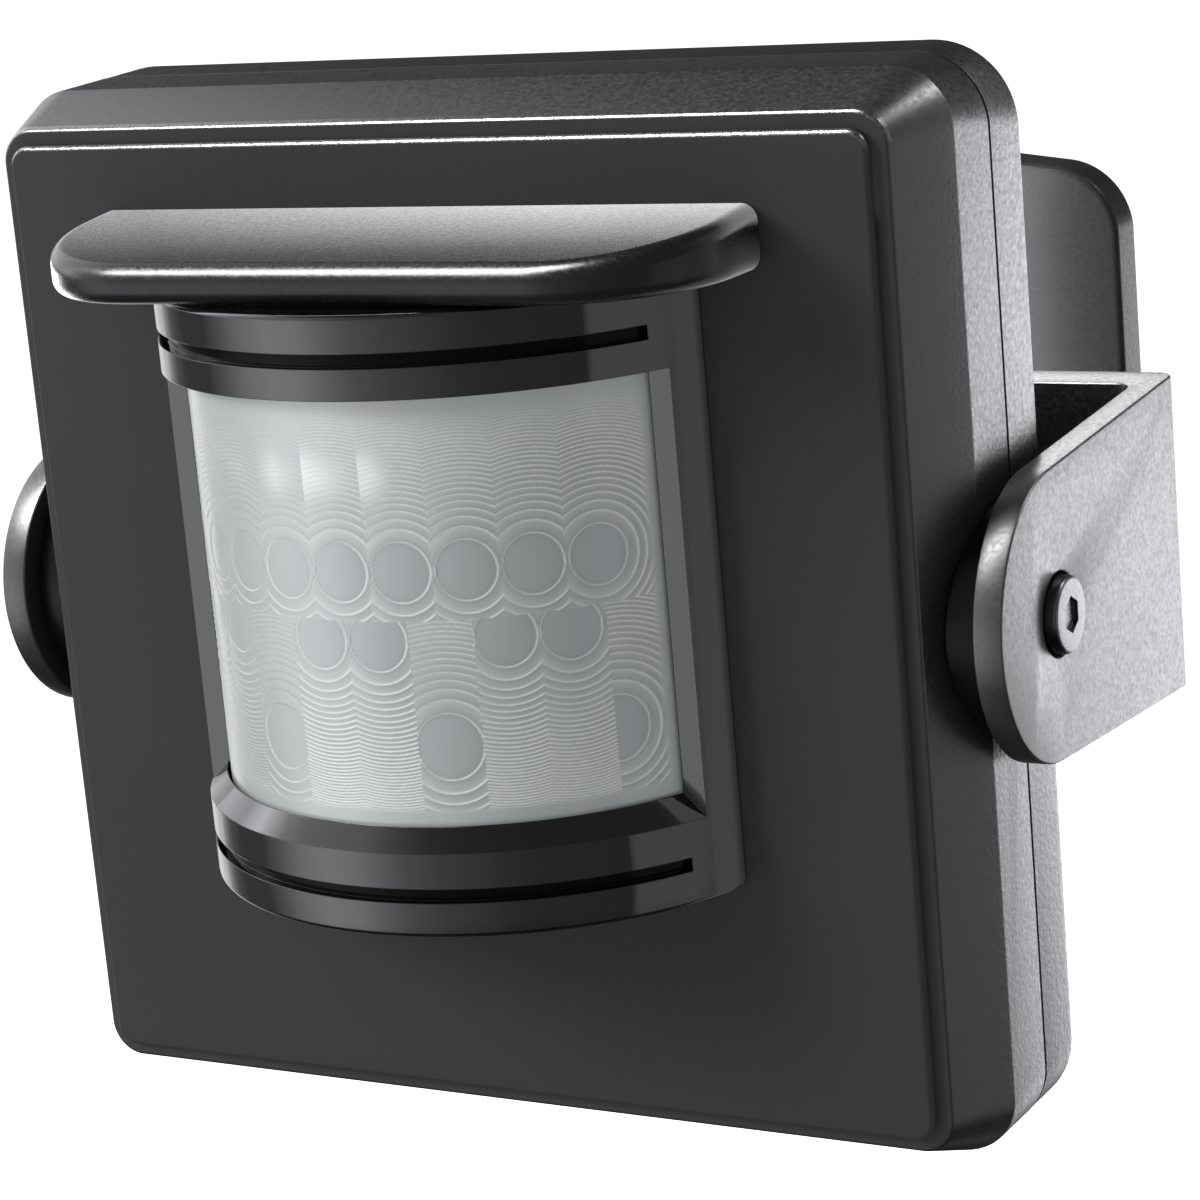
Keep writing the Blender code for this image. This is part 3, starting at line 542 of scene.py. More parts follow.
# --------------------------------------------------------------------- materials
FRONT_PLASTIC = textured_plastic("front_plate_matt", rgb=(0.195, 0.195, 0.202), rough=0.55,
                                 grain=0.13, depth=0.012, blotch=0.03, rough_var=0.04,
                                 spec=0.06, polished=-51.62)
add_plate_sheen(FRONT_PLASTIC)
BEZEL_PLASTIC = textured_plastic("bezel_textured", rgb=(0.10, 0.10, 0.104), rough=0.33,
                                 grain=0.24, depth=0.035, blotch=0.05, polished=-50.2,
                                 matt=-50.8, matt_rgb=(0.21, 0.21, 0.216), smooth=0.12)
REAR_PLASTIC = textured_plastic("rear_shell_textured", rgb=(0.10, 0.10, 0.104), rough=0.34,
                                grain=0.27, depth=0.04, blotch=0.05, spec=0.84, smooth=0.15)
YOKE_PLASTIC = textured_plastic("yoke_textured", rgb=(0.12, 0.12, 0.125), rough=0.36,
                                grain=0.20, depth=0.006, blotch=0.02, spec=0.60)
WALL_PLASTIC = textured_plastic("wall_plate_textured", rgb=(0.125, 0.125, 0.131), rough=0.28,
                                grain=0.20, depth=0.012, blotch=0.05, spec=0.06)
FRAME_GLOSS = frame_material()
HOOD_PLASTIC = textured_plastic("hood_satin", rgb=(0.10, 0.10, 0.103), rough=0.25,
                                grain=0.18, depth=0.014, blotch=0.06, spec=0.16)
HUB_PLASTIC = textured_plastic("hub_half_gloss", rgb=(0.055, 0.055, 0.058), rough=0.30,
                               grain=0.18, depth=0.012, blotch=0.06, edge=0.15, spec=0.08)
INNER_BLACK = textured_plastic("inner_black", rgb=(0.10, 0.10, 0.105), rough=0.5,
                               grain=0.2, depth=0.02, edge=0.15)
SOCKET_STEEL = metal("socket_screw_steel", rgb=(0.32, 0.32, 0.33), rough=0.32)
PLATED_STEEL = metal("plated_steel", rgb=(0.72, 0.73, 0.74), rough=0.28)
NUT_STEEL = metal("nut_steel", rgb=(0.70, 0.70, 0.66), rough=0.34)
RUBBER = rubber_material()
KNOB_PLASTIC = textured_plastic("knob_grey", rgb=(0.40, 0.40, 0.41), rough=0.45,
                                grain=0.18, depth=0.015, blotch=0.06, edge=0.12)


# ------------------------------------------------------------------- front plate
def plate_ring(grow, y, radius):
    return rounded_rect(PLATE_W / 2 + grow, PLATE_H / 2 + grow, radius, y)


def front_plate():
    edge = 0.55                              # rounding of the front edge
    back = Y_FACE + LEDGE_DEPTH - GAP
    step, step_r = -3.3, 1.7                 # narrower step behind the plate
    rings = []
    for t in quarter(7):
        inset = edge * (1 - math.sin(t))
        rings.append(plate_ring(-inset, Y_FACE + edge * (1 - math.cos(t)), PLATE_R - inset))
    rings += [plate_ring(0.0, back, PLATE_R), plate_ring(step, back, step_r),
              plate_ring(step, Y_FACE + 3.4, step_r)]
    opening = (-24.0, 24.0, Y_FACE - 2, Y_FACE + 6, -15.2, 25.9)
    return cut(loft("front_plate_skin", rings), box(*opening))


piece(front_plate(), FRONT_PLASTIC, "sensor_head", "front_plate")


# ------------------------------------------------------------------------ shells
def case_ring(grow, depth, radius=None):
    """Outline of the case at a depth behind the face."""
    if radius is None:
        radius = np.interp(depth, CORNER_DEPTHS, CORNER_RADII)
    return plate_ring(grow, Y_FACE + depth, radius)


def side_bores():
    """Holes for the pivot screws."""
    return [drill(PIVOT, "x", BORE_R, s * 40.0, s * 52.0) for s in (-1, 1)]


def front_shell():
    # growth, depth, fillet radius
    outside = [(-3.0, LEDGE_DEPTH, 0), (LEDGE, LEDGE_DEPTH, 0.45), (*SHOULDER, 1.0),
               (JOINT_GROW, FRONT_END, 0.03), (3.9, FRONT_END, 0)]
    # growth, depth, corner radius
    inside = [(1.75, FRONT_END, 4.5), (1.75, 9.2, 4.5), (-0.4, 3.5, 2.6), (-3.0, 3.5, 2.0)]
    rings = [case_ring(grow, depth, 2.0 if grow < 0 else None)
             for grow, depth in fillet_path(outside, 7)]
    rings += [case_ring(*ring) for ring in inside]
    return cut(loft("front_shell_skin", rings, closed=True), *side_bores())


def scale_ticks():
    """Eleven raised ticks round every knob; every fifth is longer."""
    ticks = []
    r0, half_width = 6.3, 0.22
    for _, x in KNOBS:
        for k in range(11):
            t = math.radians(-135.0 + 27.0 * k + 90.0)
            c, s = math.cos(t), math.sin(t)
            r1 = 7.5 if k % 5 == 0 else 7.0
            corners = ((r0, half_width), (r1, half_width), (r1, -half_width), (r0, -half_width))
            outline = [(x + r * c - w * s, KNOB_Z + r * s + w * c) for r, w in corners]
            ticks.append(prism("tick", outline, "y", Y_FACE + 21.4, Y_FACE + 22.05))
    return ticks


def rear_shell():
    # growth, depth, corner radius
    tongue = [(2.0, 19.6, 5.0), (2.0, REAR_START, 5.0), (2.7, REAR_START, 5.5),
              (2.7, 17.0, 5.5), (3.9, 17.0, 6.2)]
    # growth, depth, fillet radius
    outside = [(3.9, REAR_START, 0), (JOINT_GROW, REAR_START, 0.04), (*WIDEST, 0.0),
               (WIDEST[0], CASE_DEPTH, 0.95), (2.0, CASE_DEPTH, 0)]
    rings = [case_ring(*ring) for ring in tongue]
    for grow, depth in fillet_path(outside, 8)[:-1]:
        inset = max(0.0, WIDEST[0] - grow) * (depth > 20.9)
        radius = np.interp(depth, CORNER_DEPTHS, CORNER_RADII) - inset
        rings.append(case_ring(grow, depth, radius))
    ob = join(loft("rear_shell_skin", rings), *scale_ticks())
    # depth, radius: shank hole, counterbore and chamfer
    screw_seat = [(15.0, 1.75), (18.4, 1.75), (18.4, 3.15), (21.55, 3.15), (23.0, 4.6)]
    seat_profile = [(Y_FACE + depth, radius) for depth, radius in screw_seat]
    y0, y1 = Y_FACE + 18.0, Y_FACE + 23.0
    cutters = [turned("cutter", "y", (x, 0, z), seat_profile, 40) for x, z in CASE_SCREWS]
    cutters += [drill((x, 0, KNOB_Z), "y", 3.2, y0, y1) for _, x in KNOBS]
    cutters.append(drill((0, 0, CABLE_Z), "y", 5.0, y0, y1))
    return cut(ob, *cutters, *side_bores())


piece(front_shell(), BEZEL_PLASTIC, "sensor_head", "front_shell")
piece(rear_shell(), REAR_PLASTIC, "sensor_head", "rear_shell")


# -------------------------------------------------------------------- lens frame
def lens_frame():
    base, edge, wall = Y_FACE - 0.25, 0.45, 1.8
    centre_z, half_z = (FRAME_Z0 + FRAME_Z1) / 2, (FRAME_Z1 - FRAME_Z0) / 2

    def ring(t, z_end, inward):
        outline = d_outline(FRAME_YC, FRAME_R - edge * (1 - math.sin(t)), base)
        z = z_end + inward * edge * (1 - math.cos(t))
        return [(x, y, z) for x, y in outline]

    angles = quarter(6)
    rings = [ring(t, FRAME_Z0, 1) for t in angles]
    rings += [ring(t, FRAME_Z1, -1) for t in reversed(angles)]
    ob = loft("lens_frame_gloss", rings)
    slab = [rounded_rect(28.5, half_z + 0.02, 2.0, y, centre_z) for y in (base - 40, base + 5)]
    ob = common(ob, loft("cutter", slab))
    cavity = prism("cutter", d_outline(LENS_YC, LENS_R + GAP, base + 3.0), "z",
                   FRAME_Z0 + wall, FRAME_Z1 - wall)
    inner = (LENS_YC, LENS_R + 0.15, *WINDOW_INNER)
    outer = (FRAME_YC, FRAME_R, *WINDOW_OUTER)
    # the window cutter runs on past both faces along the same slopes
    window = [[p + (q - p) * t for p, q in zip(inner, outer)] for t in (-0.6, 1.4)]
    cutters = [cavity, curved_block(*window)]
    for groove in GROOVES:
        cutters.append(curved_block((FRAME_YC, FRAME_R - GROOVE_DEPTH, GROOVE_ANGLE, *groove),
                                    (FRAME_YC, FRAME_R + 1.5, GROOVE_ANGLE, *groove)))
    return cut(ob, *cutters)


piece(lens_frame(), FRAME_GLOSS, "sensor_head", "lens_frame", angle=24)


# ------------------------------------------------------------------ fresnel lens
# Angles in degrees round the lens axis, positive toward +X
PITCH = 12.45
UPPER_Z, MIDDLE_Z, LOWER_Z = 10.2, 4.0, -5.7         # heights of the segment centres
SPLIT_Z, TOP_Z, LOW_Z = 5.8, 24.4, -11.8             # borders of the pattern
UPPER_CENTRES = [k * PITCH + 0.3 for k in range(-4, 5)]
UPPER_EDGES = [-90.0] + [(k + 0.5) * PITCH + 0.1 for k in range(-4, 4)] + [90.0]
# left edge, right edge, centre angle, centre height, first ring radius
LOWER_SEGMENTS = [
    (-90.0, -50.3, -51.0, LOWER_Z, 3.05), (-50.3, -37.7, -43.6, MIDDLE_Z, 2.8),
    (-37.7, -25.2, -31.2, MIDDLE_Z, 2.8), (-25.2, -12.3, -17.9, LOWER_Z, 3.05),
    (-12.3, 0.4, -5.8, MIDDLE_Z, 2.8), (0.4, 12.8, 6.7, MIDDLE_Z, 2.8),
    (12.8, 25.3, 19.0, LOWER_Z, 3.05), (25.3, 37.7, 31.2, MIDDLE_Z, 2.8),
    (37.7, 50.4, 43.6, MIDDLE_Z, 2.8), (50.4, 90.0, 51.0, LOWER_Z, 3.05)]


def lens_relief(theta, z):
    """Height (0..1) of the prism profile and four fields for the material.

    ridge paints a highlight along the ring edges, disc marks the round middle zones, saw paints
    light and shade across each ring and haze paints a white glare over the upper middle segments."""
    height = np.ones_like(z)
    ridge, disc, saw, haze = (np.zeros_like(z) for _ in range(4))
    arc = math.radians(1.0) * LENS_R                 # mm per degree

    def segment(mask, centre, centre_z, first_r):
        """Rings of equal area round one centre."""
        area = (((theta - centre) * arc) ** 2 + (z - centre_z) ** 2) / (first_r * first_r)
        index = np.floor(area)
        height[mask] = (1.0 - (area - index))[mask]
        radius = np.sqrt(area) * first_r
        width = first_r * (np.sqrt(index + 1) - np.sqrt(index))
        across = (radius - first_r * np.sqrt(index)) / width
        edge = np.where(index < 1.0, 1.0 - across, np.minimum(across, 1.0 - across))
        # ridge: painted highlight along the edges of each ring
        ridge[mask] = np.clip(1.0 - edge * width / 0.11, 0.0, 1.0)[mask]
        disc[mask] = np.clip((first_r - radius) / 0.12, 0.0, 1.0)[mask]
        # saw: painted light and shade across each ring, dark at its inner edge and light at its
        # outer one; the disc is painted darker toward its rim
        middle = 0.02 - 0.42 * np.clip(across, 0.0, 1.0) ** 6
        saw[mask] = np.where(index < 1.0, middle, across - 0.55)[mask]

    upper = (z > SPLIT_Z) & (z < TOP_Z)
    for centre, a, b in zip(UPPER_CENTRES, UPPER_EDGES, UPPER_EDGES[1:]):
        part = (theta >= a) & (theta < b)
        segment(upper & part, centre, UPPER_Z, 2.75)
        # the painted glare is strongest at the left edge of each segment
        haze[part] = (1.0 - 0.75 * (theta - a) / (b - a))[part]
    lower = (z <= SPLIT_Z) & (z > LOW_Z)
    for a, b, centre, centre_z, first_r in LOWER_SEGMENTS:
        segment(lower & (theta >= a) & (theta < b), centre, centre_z, first_r)
    # the pattern fades out toward its borders
    fade = np.clip((TOP_Z - z) / 5.0, 0.0, 1.0) ** 0.7 * np.clip((z - LOW_Z) / 0.6, 0.0, 1.0)
    fade = fade * np.clip((61.5 - np.abs(theta)) / 1.5, 0.0, 1.0)
    # haze: painted white glare, kept to a band round z = 18.8 mm over the upper middle segments
    haze = haze * np.exp(-((z - 18.8) / 2.6) ** 2) * np.clip((theta + 19.0) / 6.0, 0.0, 1.0)
    haze = haze * np.clip((17.0 - theta) / 8.0, 0.0, 1.0)
    fields = {"ridge": ridge * fade, "disc": disc, "saw": saw * fade, "haze": haze}
    return 1.0 - (1.0 - height) * fade, fields


def fresnel_lens():
    nx, nz = ((440, 520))
    depth = 0.075                                    # of the relief
    angles = np.linspace(-LENS_ANGLE, LENS_ANGLE, nx)
    theta, z = np.meshgrid(angles, np.linspace(LENS_Z0, LENS_Z1, nz), indexing="ij")
    height, fields = lens_relief(theta, z)
    radius = LENS_R - 0.02 - depth * (1.0 - height)

    def on_cylinder(radius, theta, z):
        t = np.radians(theta)
        return np.stack([radius * np.sin(t), LENS_YC - radius * np.cos(t), z], -1) * MM

    outer = on_cylinder(radius, theta, z).reshape(-1, 3)
    inner = [on_cylinder(LENS_R - LENS_T, angles, np.full(nx, end)) for end in (LENS_Z0, LENS_Z1)]
    verts = np.concatenate([outer, *inner])
    low, high = nx * nz, nx * nz + nx                # first points of the inner edges
    i, j = np.meshgrid(np.arange(nx - 1), np.arange(nz - 1), indexing="ij")
    a = (i * nz + j).ravel()
    faces = np.stack([a, a + nz, a + nz + 1, a + 1], -1).tolist()
    for k in range(nx - 1):                          # lower rim, upper rim, back
        faces.append([low + k, low + k + 1, (k + 1) * nz, k * nz])
        faces.append([k * nz + nz - 1, (k + 1) * nz + nz - 1, high + k + 1, high + k])
        faces.append([high + k, high + k + 1, low + k + 1, low + k])
    faces.append([low] + list(range(0, nz)) + [high])
    faces.append([high + nx - 1] + list(range(nx * nz - 1, (nx - 1) * nz - 1, -1))
                 + [low + nx - 1])
    mesh = bpy.data.meshes.new("fresnel_lens_relief")
    mesh.from_pydata(verts.tolist(), [], faces)
    for key, field in fields.items():
        values = np.zeros(len(verts), np.float32)
        values[:nx * nz] = field.ravel()
        mesh.attributes.new(key, "FLOAT", "POINT").data.foreach_set("value", values)
    mesh.update()
    ob = bpy.data.objects.new("fresnel_lens_relief", mesh)
    bpy.context.scene.collection.objects.link(ob)
    return ob


def lens_material():
    """Milky polyethylene with painted light and shade on its rings, painted ridge highlights and a
    painted glare; the ring pattern shows less at grazing angles and under the glare.
    """
    mat = Material("lens_milky_polyethylene")
    ridge = mat.attribute("ridge")
    haze = mat.attribute("haze")
    cloud = mat.noise(scale=0.07, rough=0.45)
    facing = mat.node("LayerWeight", {"Blend": 0.5}).outputs["Facing"]
    clear = mat.remap(facing, (0.15, 0.52), to=(1.0, 0.14), smooth=True)
    clear = mat.calc("MULTIPLY", clear,
                     mat.remap(haze, (0.0, 0.8), to=(1.0, 0.3), smooth=True))
    disc = mat.calc("MULTIPLY", mat.attribute("disc"), 0.8)
    saw = mat.calc("MULTIPLY", mat.attribute("saw"), clear)
    colour = mat.mix(mat.remap(cloud, NOISE_SPAN),
                     lin((0.53, 0.545, 0.545)), lin((0.56, 0.575, 0.572)))
    # (strength, colour) of each layer over the milky base: darker discs, painted light and painted
    # shade across the rings, painted glare and painted highlights on the ring edges
    layers = (
        (mat.calc("MULTIPLY", disc, clear), (0.50, 0.518, 0.522)),
        (mat.remap(saw, (0.0, 0.5), to=(0.0, 0.24), smooth=True), (0.74, 0.75, 0.75)),
        (mat.remap(saw, (-0.5, 0.0), to=(0.30, 0.0), smooth=True), (0.36, 0.38, 0.385)),
        (mat.remap(haze, (0.10, 1.0), to=(0.0, 0.50), smooth=True), (0.80, 0.81, 0.81)),
        (mat.calc("MULTIPLY", mat.calc("MULTIPLY", ridge, 0.5), clear), (0.82, 0.83, 0.83)))
    for strength, rgb in layers:
        colour = mat.mix(strength, colour, lin(rgb))
    mat.set("Base Color", colour)
    mat.set("Roughness", mat.remap(mat.noise(scale=1.2), NOISE_SPAN, to=(0.20, 0.27)))
    mat.set("Subsurface Weight", 0.25)
    mat.set("Subsurface Radius", (1.0, 1.0, 1.0))
    mat.set("Subsurface Scale", 0.0006)
    mat.set("Specular IOR Level", 0.5)
    mat.set("Normal", mat.bump(mat.noise(scale=0.4), strength=0.10, distance=0.01))
    return mat


lens = piece(fresnel_lens(), lens_material(), "sensor_head", "fresnel_lens", angle=None)
shade(lens, angle=50)


# --------------------------------------------------------------------- rain hood
def hood_outline(inset):
    half, depth, radius = HOOD_HALF - inset, HOOD_DEPTH - inset, HOOD_R - inset
    y_front = Y_FACE - depth
    straight = y_front + radius - Y_FACE + GAP
    side = [(half, Y_FACE - GAP + straight * i / 6.0) for i in range(6)]
    side += [(half - radius + radius * math.cos(t), y_front + radius - radius * math.sin(t))
             for t in quarter(28)]
    flat, steps = half - radius, 24
    front = [(flat - flat * 2 * i / steps, y_front) for i in range(1, steps)]
    return side + front + mirrored(side)


def rain_hood():
    slope = (HOOD_Z_BACK - HOOD_Z_FRONT) / (HOOD_DEPTH - GAP)
    back_slope = math.tan(math.radians(5.5))
    crown = (slope - back_slope) / (HOOD_DEPTH - GAP)

    def top(y):
        reach = Y_FACE - GAP - y
        return HOOD_Z_BACK - (back_slope + crown * reach) * reach

    rings = []
    for t in quarter(10):                  # lower edge, from the flat underside outward
        z = HOOD_Z0 + HOOD_EDGE * (1 - math.cos(t))
        rings.append([(x, y, z) for x, y in hood_outline(HOOD_EDGE * (1 - math.sin(t)))])
    for t in quarter(10):                  # upper edge, back in to the sloping top
        drop = HOOD_EDGE * (1 - math.sin(t))
        rings.append([(x, y, top(y) - drop)
                      for x, y in hood_outline(HOOD_EDGE * (1 - math.cos(t)))])
    return loft("rain_hood_skin", rings)


piece(rain_hood(), HOOD_PLASTIC, "sensor_head", "rain_hood", angle=40)


# -------------------------------------------------------------------- wall plate
def wall_outline(grow):
    """Plate outline as (x, z): bowed top, large upper and small lower corners."""
    r_top, r_low = 7.0, 3.0
    z_side = WALL_TOP - 3.2                # height of the top edge at its ends
    flat = WALL_HALF - r_top

    def arc(cx, cz, radius, start, sweep, steps):
        angles = [math.radians(start + sweep * i / steps) for i in range(steps + 1)]
        return [(cx + radius * math.cos(t), cz + radius * math.sin(t)) for t in angles]

    points = arc(flat, z_side - r_top, r_top + grow, 4.0, 82.0, 16)
    for i in range(1, 24):
        f = 1.0 - 2.0 * i / 24.0
        points.append((flat * f, z_side + grow + (WALL_TOP - z_side) * (1.0 - f * f)))
    points += arc(-flat, z_side - r_top, r_top + grow, 94.0, 82.0, 16)
    for side, start in ((-1, 180.0), (1, 270.0)):
        points += arc(side * (WALL_HALF - r_low), WALL_BOTTOM + r_low, r_low + grow,
                      start, 90.0, 8)
    return points


def wall_plate():
    edge = 0.7                             # rounding of the front edge
    stations = [(0.0, -0.2), (-0.2, 0.0), (-WALL_T + edge, 0.0)]      # y, growth
    stations += [(-WALL_T + edge * (1 - math.sin(t)), -edge * (1 - math.cos(t)))
                 for t in quarter(7)[1:]]
    ob = loft("wall_plate_skin", [[(x, y, z) for x, z in wall_outline(grow)]
                                  for y, grow in stations])
    countersink = [(1.0, 2.4), (-2.4, 2.4), (-4.7, 4.6), (-5.2, 4.6)]   # y, radius
    cutters = [drill((0, 0, CABLE_Z), "y", 6.0, -6, 1, 64)]
    cutters += [turned("cutter", "y", (x, 0, 24.0), countersink, 48) for x in (-27.0, 27.0)]
    cutters += [drill((s * BRACKET_SCREW_X, 0, 0), "y", 2.05, -6, -0.9, 32) for s in (-1, 1)]
    return cut(ob, *cutters)


piece(wall_plate(), WALL_PLASTIC, "wall_mount", "wall_plate")


# -------------------------------------------------------------------------- yoke
def yoke():
    y_end = Y_PIVOT - NOSE_R - 1
    r_out, r_in = 1.6, 1.8                 # bends between plate and ears
    inner = [(EAR_IN, y_end)]
    inner += [(EAR_IN - r_in + r_in * math.cos(t), YOKE_FRONT - r_in + r_in * math.sin(t))
              for t in quarter(8)]
    outer = [(EAR_OUT - r_out + r_out * math.cos(t), YOKE_BACK - r_out + r_out * math.sin(t))
             for t in reversed(quarter(10))]
    outer.append((EAR_OUT, y_end))
    plan = inner + mirrored(inner) + mirrored(outer) + outer
    ob = prism("yoke_skin", plan, "z", -YOKE_HALF_H - 1, YOKE_HALF_H + 1)

    # side view: straight flanks that run tangent into the round nose at the pivot
    root = YOKE_BACK + 1.0
    run = root - Y_PIVOT
    tangent = (math.degrees(math.atan2(YOKE_HALF_H, run))
               + math.degrees(math.acos(NOSE_R / math.hypot(run, YOKE_HALF_H))))
    profile = [(root, YOKE_HALF_H)]
    steps = 90
    for i in range(steps + 1):
        t = math.radians(tangent + (360.0 - 2 * tangent) * i / steps)
        profile.append((Y_PIVOT + NOSE_R * math.cos(t), NOSE_R * math.sin(t)))
    profile.append((root, -YOKE_HALF_H))
    ob = common(ob, prism("cutter", profile, "x", -EAR_OUT - 2, EAR_OUT + 2))

    y0, y1 = YOKE_BACK - 8, YOKE_BACK + 2
    cutters = []
    for s in (-1, 1):                      # pivot bore, its head recess, bracket screw hole
        cutters.append(drill(PIVOT, "x", BORE_R, s * (EAR_IN - 2), s * (EAR_OUT + 2)))
        cutters.append(drill(PIVOT, "x", SCREW_HEAD_R + GAP, s * (EAR_OUT - 1.1),
                             s * (EAR_OUT + 2), 64))
        cutters.append(drill((s * BRACKET_SCREW_X, 0, 0), "y", 2.2, y0, y1))
    cutters.append(drill((0, 0, 0), "y", 7.0, y0, y1, 64))
    return round_edges(cut(ob, *cutters), width=0.28, segments=3, angle=40)


piece(yoke(), YOKE_PLASTIC, "wall_mount", "swivel_bracket", angle=28)


# ---------------------------------------------------------------- pivot hardware
def pivot_hub(side, s):
    start, end = 46.2, EAR_IN - 0.25
    profile = fillet_path([(start, 9.0, 0), (start, HUB_R, 0.4), (end, HUB_R, 0.5),
                           (end, 6.0, 0)])
    ob = turned("pivot_hub_skin_" + side, "x", PIVOT, [(s * x, r) for x, r in profile], 128)
    # the outline of the case, grown by the gap, is taken off the hub
    wide = WIDEST[0] + GAP
    path = fillet_path([(LEDGE + GAP, LEDGE_DEPTH - GAP, 0), (SHOULDER[0] + GAP, SHOULDER[1], 0.5),
                        (wide, WIDEST[1], 0), (wide, 22.2, 0.5), (3.9, 22.2, 0)], 4)
    case = loft("cutter", [case_ring(grow, depth) for grow, depth in path])
    return cut(ob, case, drill(PIVOT, "x", BORE_R, s * 44.0, s * 52.0))


def pivot_screw(side, s):
    top, seat = EAR_OUT + 1.1, EAR_OUT - 1.0
    profile = fillet_path([(top, 1.9, 0), (top, SCREW_HEAD_R, 0.4), (seat, SCREW_HEAD_R, 0),
                           (seat, SCREW_R, 0), (38.4, SCREW_R, 0), (38.0, SCREW_R - 0.4, 0)])
    ob = turned("pivot_screw_skin_" + side, "x", PIVOT, [(s * x, r) for x, r in profile], 72)
    hex_r = 3.0 / math.sqrt(3)
    socket = [(s * (top - 0.45), hex_r), (s * (top + 1), hex_r)]
    return cut(ob, turned("cutter", "x", PIVOT, socket, 6, math.radians(30)))


for side, s in SIDES:
    piece(pivot_hub(side, s), HUB_PLASTIC, "sensor_head", "pivot_hub_" + side)
    piece(pivot_screw(side, s), SOCKET_STEEL, "sensor_head",
          "pivot_screw_" + side)


# ------------------------------------------------------------------------- knobs
def knob(name, x):
    """Grip ribs round the rim, a pointer slot across the top."""
    y0 = Y_BACK + GAP
    stem, top = Y_FACE + 13.6, y0 + 2.5
    steps = 144

    def ring(y, radius, rib=0.0):
        points = []
        for i in range(steps):
            t = 2 * math.pi * i / steps
            r = radius - rib * (0.5 + 0.5 * math.cos(24 * t)) ** 2
            points.append((x + r * math.cos(t), y, KNOB_Z + r * math.sin(t)))
        return points

    # y, radius and rib depth
    stations = [(stem, 1.9), (stem + 2.0, 1.9), (stem + 2.4, 2.8), (y0, 2.8), (y0, 5.0),
                (y0 + 0.1, 5.15, 0.18), (y0 + 0.3, 5.2, 0.28), (y0 + 1.9, 5.2, 0.28),
                (y0 + 2.15, 5.1, 0.2), (y0 + 2.4, 4.85, 0.05), (top, 4.55)]
    ob = loft(name + "_ribbed", [ring(*station) for station in stations])
    return cut(ob, box(x - 0.45, x + 0.45, top - 1.0, top + 2, KNOB_Z - 3.6, KNOB_Z + 3.6))


for name, x in KNOBS:
    piece(knob(name, x), KNOB_PLASTIC, name, name, angle=35)


# ------------------------------------------------------------ grommet and screws
def grommet():
    # y, radius
    profile = [(Y_BACK + 0.2, 6.8), (Y_BACK + 0.9, 6.95), (Y_BACK + 1.3, 6.8),
               (Y_BACK + 1.5, 6.1)]
    for k in range(3):                     # soft steps of the cone
        y = Y_BACK + 1.55 + 0.35 * k
        profile += [(y, 5.9 - 0.6 * k), (y + 0.12, 5.95 - 0.6 * k), (y + 0.3, 5.75 - 0.6 * k)]
    profile += [(Y_BACK + 2.6, 4.2), (Y_BACK + 2.6, 2.7), (Y_BACK + 2.4, 2.6),
                (Y_FACE + 17.4, 2.6), (Y_FACE + 17.4, 5.6), (Y_FACE + 19.3, 5.9),
                (Y_FACE + 19.3, 4.7), (Y_BACK + 0.2, 4.7)]
    return turned("cable_grommet_soft", "y", (0, 0, CABLE_Z), profile, 72, closed=True)


piece(grommet(), RUBBER, "sensor_head", "cable_grommet", angle=35)


def cross_screw(name, x, z, seat, out, *, height, head_r, flat_r, shank_r, length, taper,
                slot_half, slot_reach, slot_depth):
    """Domed screw along y with a cross recess; out is the y direction its head points to."""
    top, crown_r = seat + out * height, flat_r + 0.2
    profile = [(top, flat_r)]
    profile += [(seat + out * height * (0.45 + 0.55 * math.cos(t)),
                 crown_r + (head_r - crown_r) * math.sin(t)) for t in quarter(6)]
    profile += [(seat, head_r), (seat, shank_r), (seat - out * (length - taper), shank_r),
                (seat - out * length, shank_r * 0.45)]
    ob = turned(name, "y", (x, 0, z), profile, 40)
    y0, y1 = sorted((top + out * 1.0, top - out * slot_depth))
    recess = [box(x - a, x + a, y0, y1, z - b, z + b)
              for a, b in ((slot_half, slot_reach), (slot_reach, slot_half))]
    return cut(ob, join(*recess))


for k, (x, z) in enumerate(CASE_SCREWS, 1):
    screw = cross_screw("case_screw_%d_head" % k, x, z, seat=Y_FACE + 18.6, out=1,
                        height=2.2, head_r=2.8, flat_r=0.9, shank_r=1.45, length=11.5,
                        taper=1.0, slot_half=0.36, slot_reach=1.75, slot_depth=1.2)
    piece(screw, PLATED_STEEL, "sensor_head", "case_screw_%d" % k)

for side, s in SIDES:
    screw = cross_screw("bracket_screw_%s_head" % side, s * BRACKET_SCREW_X, 0,
                        seat=YOKE_FRONT - 0.05, out=-1,
                        height=2.5, head_r=3.7, flat_r=1.2, shank_r=1.9, length=7.6,
                        taper=1.9 * 0.7, slot_half=0.45, slot_reach=2.2, slot_depth=1.3)
    piece(screw, PLATED_STEEL, "wall_mount", "bracket_screw_" + side)


# ---------------------------------------------------- CAD nodes that stay inside
def board_material():
    """Green laminate with lighter tracks and pale pads."""
    mat = Material("board_green_laminate")
    tracks = mat.voronoi(scale=0.32, feature="DISTANCE_TO_EDGE", randomness=0.35)
    line = mat.remap(tracks, (0.05, 0.09), to=(1.0, 0.0))
    pads = mat.remap(mat.voronoi(scale=0.4, randomness=0.2), (0.18, 0.22), to=(1.0, 0.0))
    green = mat.mix(line, lin((0.06, 0.27, 0.12)), lin((0.10, 0.40, 0.19)))
    mat.set("Base Color", mat.mix(pads, green, lin((0.75, 0.72, 0.62))))
    mat.set("Roughness", 0.38)
    mat.set("Normal", mat.bump(line, strength=0.4, distance=0.05))
    return mat


